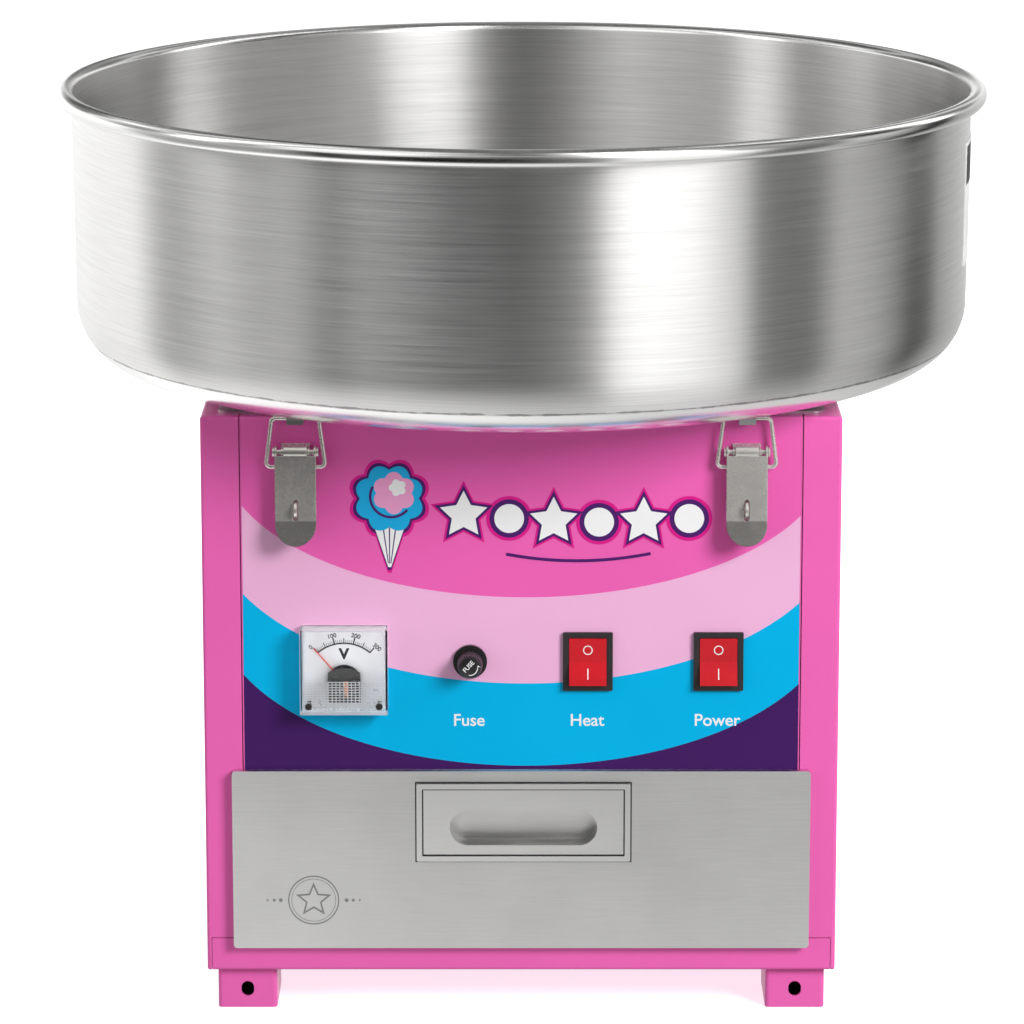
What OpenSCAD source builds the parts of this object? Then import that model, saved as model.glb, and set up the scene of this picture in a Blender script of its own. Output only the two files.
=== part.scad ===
// Counter-top cotton candy machine: steel cabinet with a drawer and control panel, a spun bowl
// held by four toggle latches, and a heated spinner head driven by a motor inside the cabinet.
// Millimetres. +Z up, the front faces -Y, and the origin is on the floor below the bowl's axis.

/* [Cabinet] */
// Outer width of the cabinet
cab_w = 345; // [338:1:355]
// Outer depth of the cabinet
cab_d = 291; // [285:1:300]
// Height of the cabinet without its feet
cab_h = 311.5; // [305:0.5:318]
// Height of the feet
foot_h = 23.5; // [22:0.5:30]
// Thickness of the cabinet's sheet steel
sheet = 1.2; // [1:0.1:1.5]
// Width of the folded flange on each front corner
flange_w = 21; // [20:0.5:23]
// Outer radius of the sheet's folds
fold_r = 1.8; // [1.6:0.1:2.5]

/* [Bowl] */
// Outer diameter over the rolled rim
rim_d = 520; // [510:1:540]
// Outer diameter of the bowl's wall at its top
wall_d = 502.8; // [498:0.2:506]
// Height of the bowl from its outer floor to its rim
bowl_h = 154; // [145:0.5:165]
// Height of the bowl's outer floor above the cabinet
bowl_gap = 8; // [7:0.5:14]
// Radius of the bend between floor and wall
bowl_r = 33; // [25:1:36]
// Thickness of the bowl's steel
bowl_t = 1.2; // [1:0.1:1.5]
// Diameter of the rolled rim's bead
bead_d = 9.8; // [8:0.2:11]

/* [Drawer] */
// Width of the drawer's front
drawer_w = 315; // [310:1:318]
// Lower edge of the drawer's front
drawer_z0 = 38; // [37:0.1:39]
// Height of the drawer's front
drawer_h = 100.7; // [99:0.1:102]
// Length of the drawer's box
drawer_l = 230; // [200:5:240]

/* [Controls] */
// Height of the row of controls
control_z = 199.5; // [197:0.1:201]
// Side of the square panel meter
meter_side = 47.5; // [46:0.5:48]
// Angle of the meter's needle from upright at zero
needle_angle = 41; // [35:1:45]
// Diameter of the fuse holder's collar
fuse_d = 18.4; // [17:0.2:19]
// Width of a switch's frame
switch_w = 27; // [26:0.5:28]
// Height of a switch's frame
switch_h = 32.5; // [32:0.5:34]
// Tilt of a rocker either side of level
rocker_tilt = 9; // [7:0.5:10]

/* [Latches] */
// Distance of each latch from the middle
latch_x = 121; // [116:1:124]
// Width of a latch's lever
lever_w = 22; // [20:0.5:23]
// Diameter of a latch's wire
wire_d = 2.4; // [2:0.1:2.6]

/* [Spinner] */
// Outer diameter of the spinner head
head_d = 168; // [150:2:190]
// Lowest point of the spinner head
head_z = 358; // [355:1:365]
// Height of the head's slotted band
band_h = 28; // [24:1:34]
// Diameter of the drive shaft
shaft_d = 12; // [10:0.5:14]
// Outer diameter of the motor
motor_d = 96; // [90:1:110]

/* [Hidden] */
$fn = 64;

paint = "hotpink";
steel = "silver";

cab_z1 = foot_h + cab_h;
face = cab_d / 2;              // distance of the front and back faces from the middle
inner = face - sheet;
side_in = cab_w / 2 - sheet;
seam_x = cab_w / 2 - flange_w; // seam between a flange and the panels beside it
gap = 0.3;                     // half-gap at a seam, and clearance of moving parts
overlay_t = 0.25;

rail_top = 41.9;               // top of the tray's front lip
opening_z1 = 131;              // top of the drawer's opening
deck_z = 134;
top_seam = 110;                // distance of the front panel's rear edge from the middle

bowl_z = cab_z1 + bowl_gap;
rim_z = bowl_z + bowl_h;
plate_t = 1.5;
well_z = cab_z1 + plate_t;     // underside of the bowl's sunken middle
well_r = 122;
collar_r = 36;

pivot_y = face + 6;            // latch pivot, measured outwards from the middle
pivot_z = 317;
bail_y = face + 4.5;           // where the bail joins the lever
bail_z = 308.5;
bar_z = cab_z1 + 0.2;          // centre of the bail's upper bar

meter_x = -95.9;
meter_z = 196.2;
needle_z = meter_z - 6.9;
meter_depth = 12;
fuse_x = -27.7;
heat_x = 36.1;
power_x = 106.9;
rocker_y = -(face + 1.8);

pull_x = 1.2;
pull_z = 110;
cup_z = 107;
pull_w = 116.5;
pull_h = 44;
cup_w = 80.5;
cup_h = 20;
drawer_y = -(face + 5);        // front face of the drawer

band_z = head_z + 8;
motor_top = 275;
motor_h = 78;

corners = [[-1, -1], [1, -1], [-1, 1], [1, 1]];

// ---------- shapes used by several parts ----------

// Rectangle w by h with corners of radius r
module rounded_rect(w, h, r) {
    square([w - 2 * r, h], center = true);
    square([w, h - 2 * r], center = true);
    for (c = corners)
        translate([c[0] * (w / 2 - r), c[1] * (h / 2 - r)]) circle(r);
}

// Slot of overall length w and width h
module stadium(w, h) {
    square([w - h, h], center = true);
    for (s = [-1, 1])
        translate([s * (w - h) / 2, 0]) circle(h / 2);
}

// Box between two corners
module span(low, high) {
    translate(low) cube(high - low);
}

// Cylinder that points along +Y from y0 to y1
module along_y(y0, y1, r) {
    translate([0, y0, 0]) rotate([-90, 0, 0]) cylinder(h = y1 - y0, r = r);
}

// Cylinder that points along +X from x0 to x1
module along_x(x0, x1, r) {
    translate([x0, 0, 0]) rotate([0, 90, 0]) cylinder(h = x1 - x0, r = r);
}

// Extrudes a front view (x, z) from y0 to y1
module front_view(y0, y1) {
    translate([0, y1, 0]) rotate([90, 0, 0]) linear_extrude(y1 - y0) children();
}

// Extrudes a side view (y, z) from x0 to x1
module side_view(x0, x1) {
    translate([x0, 0, 0]) rotate([90, 0, 90]) linear_extrude(x1 - x0) children();
}

// Ring of inner radius r0, outer radius r1, between z0 and z1
module ring(r0, r1, z0, z1) {
    translate([0, 0, z0]) difference() {
        cylinder(h = z1 - z0, r = r1);
        translate([0, 0, -1]) cylinder(h = z1 - z0 + 2, r = r0);
    }
}

// Puts what is drawn for the front right at one of the four corners
module at_corner(c) {
    mirror([c[0] < 0 ? 1 : 0, 0, 0]) mirror([0, c[1] > 0 ? 1 : 0, 0]) children();
}

// ---------- cabinet ----------

// Block of the cabinet's outline, each face set back by the inset
module cabinet_block(inset) {
    w = cab_w - 2 * inset;
    d = cab_d - 2 * inset;
    h = cab_h - 2 * inset;
    r = fold_r - inset;
    translate([0, 0, foot_h + cab_h / 2]) intersection() {
        linear_extrude(h, center = true) rounded_rect(w, d, r);
        rotate([90, 0, 0]) linear_extrude(d, center = true) rounded_rect(w, h, r);
        rotate([90, 0, 90]) linear_extrude(w, center = true) rounded_rect(d, h, r);
    }
}

// The folded shell, of which each panel is one region
module shell() {
    difference() {
        cabinet_block(0);
        cabinet_block(sheet);
    }
}

screw_r = 2;                   // shank radius of the cabinet's screws
side_screws = [[-110, 32], [110, 32], [0, 32]];
back_screws = [for (z = [50, 190, 318], s = [-1, 1]) [s * 139, z]];

module side_panel(s) {
    color(paint) difference() {
        intersection() {
            shell();
            mirror([s < 0 ? 1 : 0, 0, 0])
                span([seam_x + gap, -face - 1, foot_h - 1], [cab_w / 2 + 1, face + 1, cab_z1 + 1]);
        }
        // the floor and the lower flanges are left to the tray
        mirror([s < 0 ? 1 : 0, 0, 0])
            span([0, -face - 1, foot_h - 1], [cab_w / 2 - 2.5, face + 1, rail_top + 0.5]);
        for (p = side_screws)
            translate([s * (cab_w / 2 - 4), p[0], p[1]]) along_x(-4, 8, screw_r + 0.15);
    }
}

// Cut-outs that the controls and the latch rivets need
module control_holes(y0, y1) {
    translate([meter_x, 0, meter_z]) along_y(y0, y1, 19.2);
    translate([fuse_x, 0, control_z]) along_y(y0, y1, 6.3);
    for (x = [heat_x, power_x])
        span([x - 11.5, y0, control_z - 14.8], [x + 11.5, y1, control_z + 14.8]);
    for (s = [-1, 1], z = [272, 298])
        translate([s * latch_x, 0, z]) along_y(y0, y1, 1.7);
}

module front_panel() {
    color(paint) difference() {
        intersection() {
            shell();
            span([-seam_x + gap, -face - 1, opening_z1], [seam_x - gap, -top_seam - gap, cab_z1 + 1]);
        }
        overlay_blank(0.1);
        control_holes(-face - 1, -inner + 1);
    }
}

module overlay_blank(extra) {
    half = seam_x - 1;
    span([-half - extra, -face - 1, opening_z1 - extra],
         [half + extra, -face + overlay_t, cab_z1 - fold_r - 0.5 + extra]);
}

module panel_overlay() {
    color("orchid") difference() {
        intersection() {
            overlay_blank(0);
            span([-cab_w, -face, 0], [cab_w, 0, cab_z1]);
        }
        control_holes(-face - 1, -inner + 1);
    }
}

// Where the motor bracket hangs from the top
bracket_holes = [[-52, -52], [52, -52], [-52, 52], [52, 52]];

module top_panel() {
    color(paint) difference() {
        intersection() {
            shell();
            span([-seam_x + gap, -top_seam + gap, cab_z1 - 3], [seam_x - gap, inner - 1, cab_z1 + 1]);
        }
        translate([0, 0, cab_z1 - 4]) cylinder(h = 8, r = 32);
        for (p = bracket_holes)
            translate([p[0], p[1], cab_z1 - 4]) cylinder(h = 8, r = 3.2);
    }
}

louvre_x = [-62, 62];
louvre_z = [for (i = [0:6]) 170 + i * 15];

// Hooded louvre, seen from the side: slot below, hood sloping up and out
module louvre_hood() {
    side_view(-32, 32) polygon([[inner + 0.4, 9], [inner + 0.4, 1.5], [face + 4.5, 0], [face + 4.5, 1.2]]);
}

module back_panel() {
    color(paint) {
        difference() {
            intersection() {
                shell();
                span([-seam_x + gap, inner - 0.6, rail_top + 0.5], [seam_x - gap, face + 1, cab_z1 + 1]);
            }
            for (x = louvre_x, z = louvre_z)
                translate([x, 0, z]) front_view(inner - 2, face + 2) stadium(60, 5);
            translate([cord_x, 0, cord_z]) along_y(inner - 2, face + 2, 8.1);
            for (p = back_screws)
                translate([p[0], 0, p[1]]) along_y(inner - 2, face + 2, screw_r + 0.15);
            for (s = [-1, 1], z = [272, 298])
                translate([s * latch_x, 0, z]) along_y(inner - 2, face + 2, 1.7);
        }
        for (x = louvre_x, z = louvre_z)
            translate([x, 0, z + 1.5]) louvre_hood();
    }
}

module base_tray() {
    half = cab_w / 2 - 2.5 - gap;
    color(paint) difference() {
        intersection() {
            shell();
            span([-half, -face - 1, foot_h - 1], [half, face + 1, rail_top]);
        }
        for (p = feet)
            translate([p[0], p[1], foot_h - 2]) cylinder(h = 5, r = screw_r + 0.15);
    }
}

// ---------- feet ----------

foot_w = 32.5;
foot_l = 44;
feet = [for (c = corners) [c[0] * 150.8, c[1] * (face - 5 - foot_l / 2)]];

module foot_outline(inset) {
    rounded_rect(foot_w - 2 * inset, foot_l - 2 * inset, 2.4 - inset);
}

// Folded steel foot with an oblong hole in its outward face
module foot(p) {
    out = p[1] < 0 ? -1 : 1;
    wall = 1.5;
    translate([p[0], p[1], 0]) difference() {
        translate([0, 0, 0.5]) linear_extrude(foot_h - 0.5) foot_outline(0);
        translate([0, 0, -1]) linear_extrude(foot_h - wall + 1) foot_outline(wall);
        translate([0, out * foot_l / 2, 11.2]) front_view(-4, 4) rotate(90) stadium(8.6, 7);
        translate([0, 0, foot_h - 4]) cylinder(h = 6, r = screw_r + 0.15);
    }
}

module foot_row(front) {
    color(paint)
        for (p = feet)
            if ((p[1] < 0) == front) foot(p);
}

module foot_pads() {
    color("dimgray")
        for (p = feet)
            translate([p[0], p[1], 0]) linear_extrude(5) foot_outline(1.6);
}

// ---------- drawer bay ----------

module drawer_deck() {
    w = side_in - 0.5;
    color("gainsboro") difference() {
        union() {
            span([-w, -inner + 1, deck_z], [w, inner - 1, deck_z + sheet]);
            for (s = [-1, 1])
                span([min(s * w, s * (w - sheet)), -inner + 12, deck_z],
                     [max(s * w, s * (w - sheet)), inner - 12, deck_z + 14]);
        }
        translate([0, 0, deck_z - 1]) for (a = [0:45:315])
            rotate(a) translate([30, 0, 0]) cylinder(h = 4, r = 5);
    }
}

rail_z = 43.7;                 // surface that the drawer's box slides on

module drawer_rails() {
    color("gainsboro")
        for (s = [-1, 1]) mirror([s < 0 ? 1 : 0, 0, 0])
            side_view_rail();
}

module side_view_rail() {
    x1 = side_in - 0.4;
    span([133, -125, rail_z - 1.5], [x1, 135, rail_z]);
    span([x1 - 1.5, -125, rail_z - 1.5], [x1, 135, rail_z + 22]);
    span([147.5, -125, rail_z - 1.5], [149, 135, rail_z + 12]);
}

box_w = 290;
box_z0 = rail_z + gap;
box_z1 = 126;
box_t = 1;

// Opening in the drawer's front for the pull's pocket
module pull_window(y0, y1, extra) {
    translate([pull_x, 0, cup_z]) front_view(y0, y1) stadium(cup_w + 3 + extra, cup_h + 3 + extra);
}

module drawer_front() {
    z_mid = drawer_z0 + drawer_h / 2;
    color(steel) difference() {
        translate([0, 0, z_mid]) front_view(drawer_y, -face - 0.5) rounded_rect(drawer_w, drawer_h, 2);
        translate([0, 0, z_mid]) front_view(drawer_y + sheet, -face + 1)
            rounded_rect(drawer_w - 2 * sheet, drawer_h - 2 * sheet, 0.8);
        pull_window(drawer_y - 1, drawer_y + 3, 0.4);
    }
}

module drawer_box() {
    y0 = drawer_y + sheet;
    y1 = y0 + drawer_l;
    color("lightgray") difference() {
        span([-box_w / 2, y0, box_z0], [box_w / 2, y1, box_z1]);
        span([-box_w / 2 + box_t, y0 + box_t, box_z0 + box_t], [box_w / 2 - box_t, y1 - box_t, box_z1 + 1]);
        span([pull_x - 43.5, y0 - 1, cup_z - 13.2], [pull_x + 43.5, y0 + 3, box_z1 + 1]);
    }
}

pocket = 13;                   // depth of the pull's finger pocket

// Flush pull: raised frame, sunken field, and a pocket for the fingers
module drawer_pull() {
    color(steel) difference() {
        union() {
            translate([pull_x, 0, pull_z])
                front_view(drawer_y - 1.6, drawer_y) rounded_rect(pull_w, pull_h, 1);
            pull_window(drawer_y - 0.5, drawer_y + pocket, 0);
        }
        translate([pull_x, 0, pull_z]) front_view(drawer_y - 2.6, drawer_y - 0.6)
            rounded_rect(pull_w - 6, pull_h - 6, 0.6);
        translate([pull_x, 0, cup_z]) front_view(drawer_y - 3, drawer_y + pocket - 1.2)
            stadium(cup_w, cup_h);
    }
}

// ---------- panel meter ----------

cover_t = 1.2;

module meter_cover() {
    y0 = -face - meter_depth;
    color([0.9, 0.95, 1, 0.35]) translate([meter_x, 0, meter_z]) difference() {
        front_view(y0, -face - 1.5) rounded_rect(meter_side, meter_side, 0.8);
        front_view(y0 + cover_t, -face) rounded_rect(meter_side - 2 * cover_t, meter_side - 2 * cover_t, 0.5);
        for (s = [-1, 1])
            translate([s * 19.1, 0, -19.2]) along_y(y0 - 1, y0 + 3, 1.95);
    }
}

module meter_body() {
    color("whitesmoke") translate([meter_x, 0, meter_z]) {
        front_view(-face - 1.5, -face) rounded_rect(meter_side - 0.6, meter_side - 0.6, 0.8);
        along_y(-face - 0.5, -face + 26, 18.6);
        for (s = [-1, 1])
            translate([s * 8, 0, 0]) along_y(-face + 25, -face + 34, 1.5);
    }
}

module meter_dial() {
    color("white") translate([meter_x, 0, meter_z]) difference() {
        front_view(-face - 4.4, -face - 1.5) translate([0, 6.8]) square([43.4, 29.6], center = true);
        translate([0, 0, needle_z - meter_z]) along_y(-face - 6, -face - 1, 9.4);
    }
}

module meter_movement() {
    color("black") translate([meter_x, 0, needle_z]) {
        along_y(-face - 4, -face - 1.5, 8.6);
        difference() {
            span([-8.8, -face - 4, -12], [8.8, -face - 1.5, -1]);
            along_y(-face - 5, -face, 8.6);
        }
        along_y(-face - 4.4, -face - 4, 3);
    }
}

needle_y = -face - 6;

module meter_needle() {
    color("red") translate([meter_x, 0, needle_z]) rotate([0, -needle_angle, 0]) {
        along_y(needle_y, needle_y + 1, 2.6);
        span([-0.3, needle_y, 0], [0.3, needle_y + 0.4, 25]);
        span([-0.9, needle_y, -6], [0.9, needle_y + 0.4, 0]);
    }
}

module meter_screws() {
    y0 = -face - meter_depth;
    color("dimgray")
        for (s = [-1, 1]) translate([meter_x + s * 19.1, 0, meter_z - 19.2]) {
            difference() {
                along_y(y0 - 0.3, y0 + 2, 1.8);
                span([-1.6, y0 - 1, -0.25], [1.6, y0 + 0.3, 0.25]);
            }
            along_y(y0 + 1.9, -face - 1.5, 1.1);
        }
}

// ---------- fuse holder ----------

module fuse_holder() {
    color("black") translate([fuse_x, 0, control_z]) difference() {
        union() {
            along_y(-face - 2.2, -face, fuse_d / 2);
            along_y(-face - 3.4, -face - 2, fuse_d / 2 - 0.8);
            along_y(-face - 1, -face + 36, 6.1);
            front_view(-inner, -inner + 4) circle(9.5, $fn = 6);
            span([-1.5, -face + 35, -0.5], [1.5, -face + 44, 0.5]);
        }
        along_y(-face - 5, -face + 33, 4.6);
    }
}

module fuse_cap() {
    y0 = -face - 14;
    y1 = -face - 3.6;
    color("black") translate([fuse_x, 0, control_z]) difference() {
        union() {
            translate([0, y0, 0]) rotate([-90, 0, 0]) cylinder(h = y1 - y0, r1 = 6.4, r2 = 7.3);
            along_y(y1 - 1, y1 + 9, 4.3);
        }
        along_y(y1 - 2, y1 + 10, 3.2);
    }
}

module fuse_link() {
    y0 = -face - 5.2;
    translate([fuse_x, 0, control_z]) {
        color("silver") along_y(y0, y0 + 6, 2.9);
        color([0.8, 0.9, 1, 0.5]) along_y(y0 + 6, y0 + 24, 2.6);
        color("silver") along_y(y0 + 24, y0 + 30, 2.9);
    }
}

// ---------- rocker switches ----------

module switch_frame(x) {
    color("black") translate([x, 0, control_z]) {
        difference() {
            union() {
                front_view(-face - 2, -face) rounded_rect(switch_w, switch_h, 0.6);
                span([-11.3, -face - 1, -14.6], [11.3, -face + 26, 14.6]);
            }
            span([-10.4, -face - 3, -13.4], [10.4, -face + 12, 13.4]);
        }
        for (s = [-1, 1], z = [-9, 0, 9])
            translate([s * 6, 0, z]) span([-0.4, -face + 25.5, -3], [0.4, -face + 34, 3]);
    }
}

rocker_r = 13.1;

// Rocker in side view, level, with the origin at its pivot and y pointing inwards
module rocker_outline() {
    intersection() {
        circle(rocker_r);
        polygon([[-2.7, -13.2], [-0.6, 0], [-2.7, 13.2], [6, 13.2], [6, -13.2]]);
    }
}

module rocker(x) {
    color("red") translate([x, rocker_y, control_z])
        rotate([-rocker_tilt, 0, 0]) side_view(-10.1, 10.1) rocker_outline();
}

// ---------- toggle latches ----------

pin_r = 1.5;
ear_x = 7.6;
lever_out = pivot_y + 3.5;     // outer face of the lever
slot_z = 285.5;                 // middle of the slot that the staple passes through

// Places a side view, drawn with y measured outwards, on the front of the cabinet
module latch_side(x0, x1) {
    side_view(x0, x1) mirror([1, 0]) children();
}

module latch_base() {
    translate([latch_x, 0, 0]) difference() {
        union() {
            latch_side(-ear_x, ear_x) translate([face, 268.5]) square([1, pivot_z - 265]);
            for (s = [-1, 1])
                latch_side(min(s * ear_x, s * (ear_x - 1)), max(s * ear_x, s * (ear_x - 1))) {
                    translate([face, pivot_z - 2.5]) square([pivot_y - face, 5]);
                    translate([pivot_y, pivot_z]) circle(2.5);
                }
            // staple that a padlock could pass through
            latch_side(-0.8, 0.8) {
                translate([face + 0.5, slot_z - 4]) square([9, 8.5]);
                translate([face + 9.5, slot_z + 0.25]) circle(4.25);
            }
        }
        translate([0, -pivot_y, pivot_z]) along_x(-20, 20, pin_r + 0.02);
        translate([0, -face - 9.5, slot_z + 0.25]) along_x(-5, 5, 2.2);
        for (z = [272, 298])
            translate([0, 0, z]) along_y(-face - 2, -face + 1, 1.7);
    }
}

module latch_pin() {
    translate([latch_x, -pivot_y, pivot_z]) {
        head = lever_w / 2 + 0.3;
        along_x(-head, head, pin_r);
        for (s = [-1, 1])
            along_x(min(s * head, s * (head + 1)), max(s * head, s * (head + 1)), 2.6);
    }
}

module latch_rivet_pair() {
    for (z = [272, 298]) translate([latch_x, 0, z]) {
        along_y(-face - 1, -inner + 1.4, 1.55);
        along_y(-face - 2, -face - 1, 3);
        along_y(-inner, -inner + 1.5, 2.7);
    }
}

tab_angle = 24;
tab_z = 279.5;                  // height of the lever's bend

// Lever plate in side view, with its lower end bent outwards as a thumb tab
module lever_profile() {
    reach = 15 * tan(tab_angle);
    thick = 1 / cos(tab_angle);
    polygon([
        [lever_out - 1, pivot_z - 1.5], [lever_out, pivot_z - 1.5], [lever_out, tab_z],
        [lever_out + reach, tab_z - 15],
        [lever_out + reach - thick, tab_z - 15], [lever_out - 1, tab_z - (thick - 1) / tan(tab_angle)]
    ]);
}

// Lever in front view: square at the top, round at the bottom
module lever_outline() {
    half = lever_w / 2;
    low = 267 + half;
    translate([-half, low]) square([lever_w, pivot_z + 6 - low]);
    translate([0, low]) circle(half);
}

module latch_lever() {
    half = lever_w / 2;
    translate([latch_x, 0, 0]) difference() {
        union() {
            intersection() {
                latch_side(-half - 1, half + 1) lever_profile();
                front_view(-lever_out - 15, -lever_out + 5) lever_outline();
            }
            // rolled barrel round the pin
            latch_side(-6.3, 6.3) translate([pivot_y, pivot_z]) circle(3.6);
            // side flanges that carry the pin and the bail
            for (s = [-1, 1])
                latch_side(min(s * half, s * (half - 1)), max(s * half, s * (half - 1))) {
                    translate([pivot_y, pivot_z]) circle(3.4);
                    polygon([
                        [lever_out - 0.5, tab_z + 2], [lever_out - 3, tab_z + 4], [lever_out - 3, bail_z - 9],
                        [bail_y - 2.4, bail_z - 5], [bail_y - 2.4, bail_z + 3], [pivot_y - 3, pivot_z],
                        [lever_out - 0.5, pivot_z - 2]
                    ]);
                }
        }
        // slot for the staple
        translate([0, 0, slot_z]) front_view(-lever_out - 1, -lever_out + 2) rotate(90) stadium(12, 3);
        translate([0, -pivot_y, pivot_z]) along_x(-20, 20, pin_r + 0.06);
        translate([0, -bail_y, bail_z]) along_x(-20, 20, wire_d / 2 + 0.08);
    }
}

function unit(v) = v / norm(v);
function cross2(a, b) = a[0] * b[1] - a[1] * b[0];
function turn(a, b, c) = acos(unit(b - a) * unit(c - b));

// Round wire in the x-z plane through the points, with every inner corner bent to radius r
module bent_wire(points, r, d) {
    lap = 0.2;                 // each straight reaches this far into the bends beside it
    last = len(points) - 1;
    cut = [
        for (i = [0:last])
            i == 0 || i == last ? 0 : r * tan(turn(points[i - 1], points[i], points[i + 1]) / 2) - lap
    ];
    for (i = [0:last - 1]) {
        way = unit(points[i + 1] - points[i]);
        start = points[i] + way * cut[i];
        length = norm(points[i + 1] - points[i]) - cut[i] - cut[i + 1];
        translate([start[0], 0, start[1]])
            rotate([0, atan2(way[0], way[1]), 0]) cylinder(h = length, r = d / 2);
    }
    for (i = [1:last - 1]) {
        before = unit(points[i] - points[i - 1]);
        side = cross2(before, points[i + 1] - points[i]) > 0 ? 1 : -1;
        from = points[i] - before * (cut[i] + lap);
        centre = from + side * r * [-before[1], before[0]];
        bend = turn(points[i - 1], points[i], points[i + 1]);
        start_angle = atan2(-side * before[0], side * before[1]);
        translate([centre[0], 0, centre[1]]) rotate([90, 0, 0])
            rotate(side > 0 ? start_angle : start_angle - bend)
                rotate_extrude(angle = bend) translate([r, 0]) circle(d / 2 + 0.05);
    }
}

bail_half = [[6.4, bail_z], [16, bail_z], [12.6, bar_z]];

module latch_bail() {
    mirrored = [for (i = [2:-1:0]) [-bail_half[i][0], bail_half[i][1]]];
    translate([latch_x, -bail_y, 0]) bent_wire(concat(bail_half, mirrored), 2.6, wire_d);
}

// ---------- bowl ----------

// Cross-section of the spun bowl
module bowl_section() {
    r_top = wall_d / 2;
    r_low = r_top - 1;
    bend_x = r_low - bowl_r;
    bead_r = bead_d / 2;
    bead_x = rim_d / 2 - bead_r;
    bead_z = rim_z - bead_r;
    // wall
    polygon([
        [r_low - bowl_t, bowl_z + bowl_r], [r_low, bowl_z + bowl_r],
        [r_top, bead_z], [r_top - bowl_t, bead_z]
    ]);
    // bend between wall and floor
    intersection() {
        translate([bend_x, bowl_z + bowl_r]) difference() {
            circle(bowl_r, $fn = 128);
            circle(bowl_r - bowl_t, $fn = 128);
        }
        translate([bend_x, bowl_z]) square([bowl_r, bowl_r]);
    }
    // outer floor, step and sunken middle
    translate([well_r + 8, bowl_z]) square([bend_x - well_r - 8, bowl_t]);
    polygon([
        [well_r, well_z], [well_r + 8 + 0.4, bowl_z], [well_r + 8 + 0.4, bowl_z + bowl_t],
        [well_r + 7, bowl_z + bowl_t], [well_r - 1, well_z + bowl_t], [well_r - 1, well_z]
    ]);
    translate([collar_r, well_z]) square([well_r - collar_r, bowl_t]);
    // collar that keeps sugar off the motor
    translate([collar_r, well_z]) square([bowl_t, 18]);
    // rolled bead, open below
    translate([bead_x, bead_z]) difference() {
        circle(bead_r);
        circle(bead_r - bowl_t);
        translate([-bead_r + bowl_t + 0.6, -bead_r - 1]) square([2.4, bead_r]);
    }
}

module bowl() {
    color(steel) rotate_extrude($fn = 256) bowl_section();
}

// Hook that a bail pulls down on, in side view with y measured outwards
module hook_outline() {
    z = cab_z1;
    translate([face - 14, z]) square([17, plate_t]);
    translate([face + 1.8, z - 2.6]) square([1.2, 2.6 + plate_t]);
    translate([face + 1.8, z - 2.6]) square([6.9, 1.2]);
    translate([face + 7.5, z - 2.6]) square([1.2, 3.6]);
}

plate_w = cab_w - 18;
plate_d = 276;

module bowl_base_plate() {
    color(steel) {
        difference() {
            translate([0, 0, cab_z1]) linear_extrude(plate_t) rounded_rect(plate_w, plate_d, 6);
            translate([0, 0, cab_z1 - 1]) cylinder(h = 4, r = 34);
            for (p = bracket_holes)
                translate([p[0], p[1], cab_z1 - 1]) cylinder(h = 4, r = 6);
        }
        for (c = corners) at_corner(c)
            translate([latch_x, 0, 0]) latch_side(-4.5, 4.5) hook_outline();
    }
}

label_t = 0.3;

// Plain label on the bowl's right side
module bowl_label() {
    low = bowl_r + 25;
    tall = 69;
    slope = 1 / (bowl_h - bowl_r - bead_d / 2);
    r = wall_d / 2 - 1 + (low - bowl_r) * slope + 0.05;
    color("white") intersection() {
        translate([0, 0, bowl_z + low]) difference() {
            cylinder(h = tall, r1 = r + label_t, r2 = r + label_t + tall * slope, $fn = 256);
            translate([0, 0, -1])
                cylinder(h = tall + 2, r1 = r - slope, r2 = r + (tall + 1) * slope, $fn = 256);
        }
        span([0, -58, 0], [400, 10, 600]);
    }
}

// ---------- motor and slip rings ----------

module motor_housing() {
    r = motor_d / 2;
    z0 = motor_top - motor_h;
    color("slategray") difference() {
        union() {
            translate([0, 0, z0]) cylinder(h = motor_h, r = r - 3);
            for (a = [0:15:345])
                rotate(a) span([r - 4, -1.2, z0 + 8], [r, 1.2, motor_top - 8]);
            ring(r - 6, r, z0, z0 + 8);
            ring(r - 6, r, motor_top - 8, motor_top);
        }
        translate([0, 0, z0 + 8]) cylinder(h = motor_h - 16, r = r - 8);
        translate([0, 0, z0 - 1]) cylinder(h = motor_h + 2, r = 14);
        for (a = [30:60:330])
            rotate(a) translate([26, 0, z0 - 1]) cylinder(h = 10, r = 5);
    }
}

module motor_bearings() {
    color("lightsteelblue") {
        ring(shaft_d / 2 + 0.05, 14, motor_top - 7.5, motor_top - 0.5);
        ring(shaft_d / 2 + 0.05, 14, motor_top - motor_h + 0.5, motor_top - motor_h + 7.5);
    }
}

module motor_rotor() {
    z0 = motor_top - motor_h;
    color("peru") ring(shaft_d / 2 + 0.03, motor_d / 2 - 10, z0 + 12, motor_top - 12);
}

module motor_shaft() {
    color("gray") {
        translate([0, 0, 152]) cylinder(h = head_z + 34 - 152, r = shaft_d / 2);
    }
}

module motor_fan() {
    r = 40;
    color("dimgray") {
        ring(shaft_d / 2 + 0.03, 12, 158, 184);
        ring(12, r, 181, 183);
        for (a = [0:40:320])
            rotate(a) span([11.5, -1, 160], [r, 1, 181.2]);
    }
}

module motor_bracket() {
    z0 = motor_top;
    top = cab_z1 - sheet;
    color("gainsboro") difference() {
        union() {
            translate([0, 0, z0]) linear_extrude(2.5) rounded_rect(122, 96, 6);
            for (s = [-1, 1]) {
                span([s * 61 - 1.25, -36, z0], [s * 61 + 1.25, 36, top - 4.5]);
                translate([s * 54, 0, top - 7]) linear_extrude(2.5) rounded_rect(16, 122, 3);
            }
        }
        translate([0, 0, z0 - 1]) cylinder(h = 5, r = 22);
        for (p = bracket_holes)
            translate([p[0], p[1], top - 8]) cylinder(h = 6, r = 4.2);
    }
}

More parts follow.
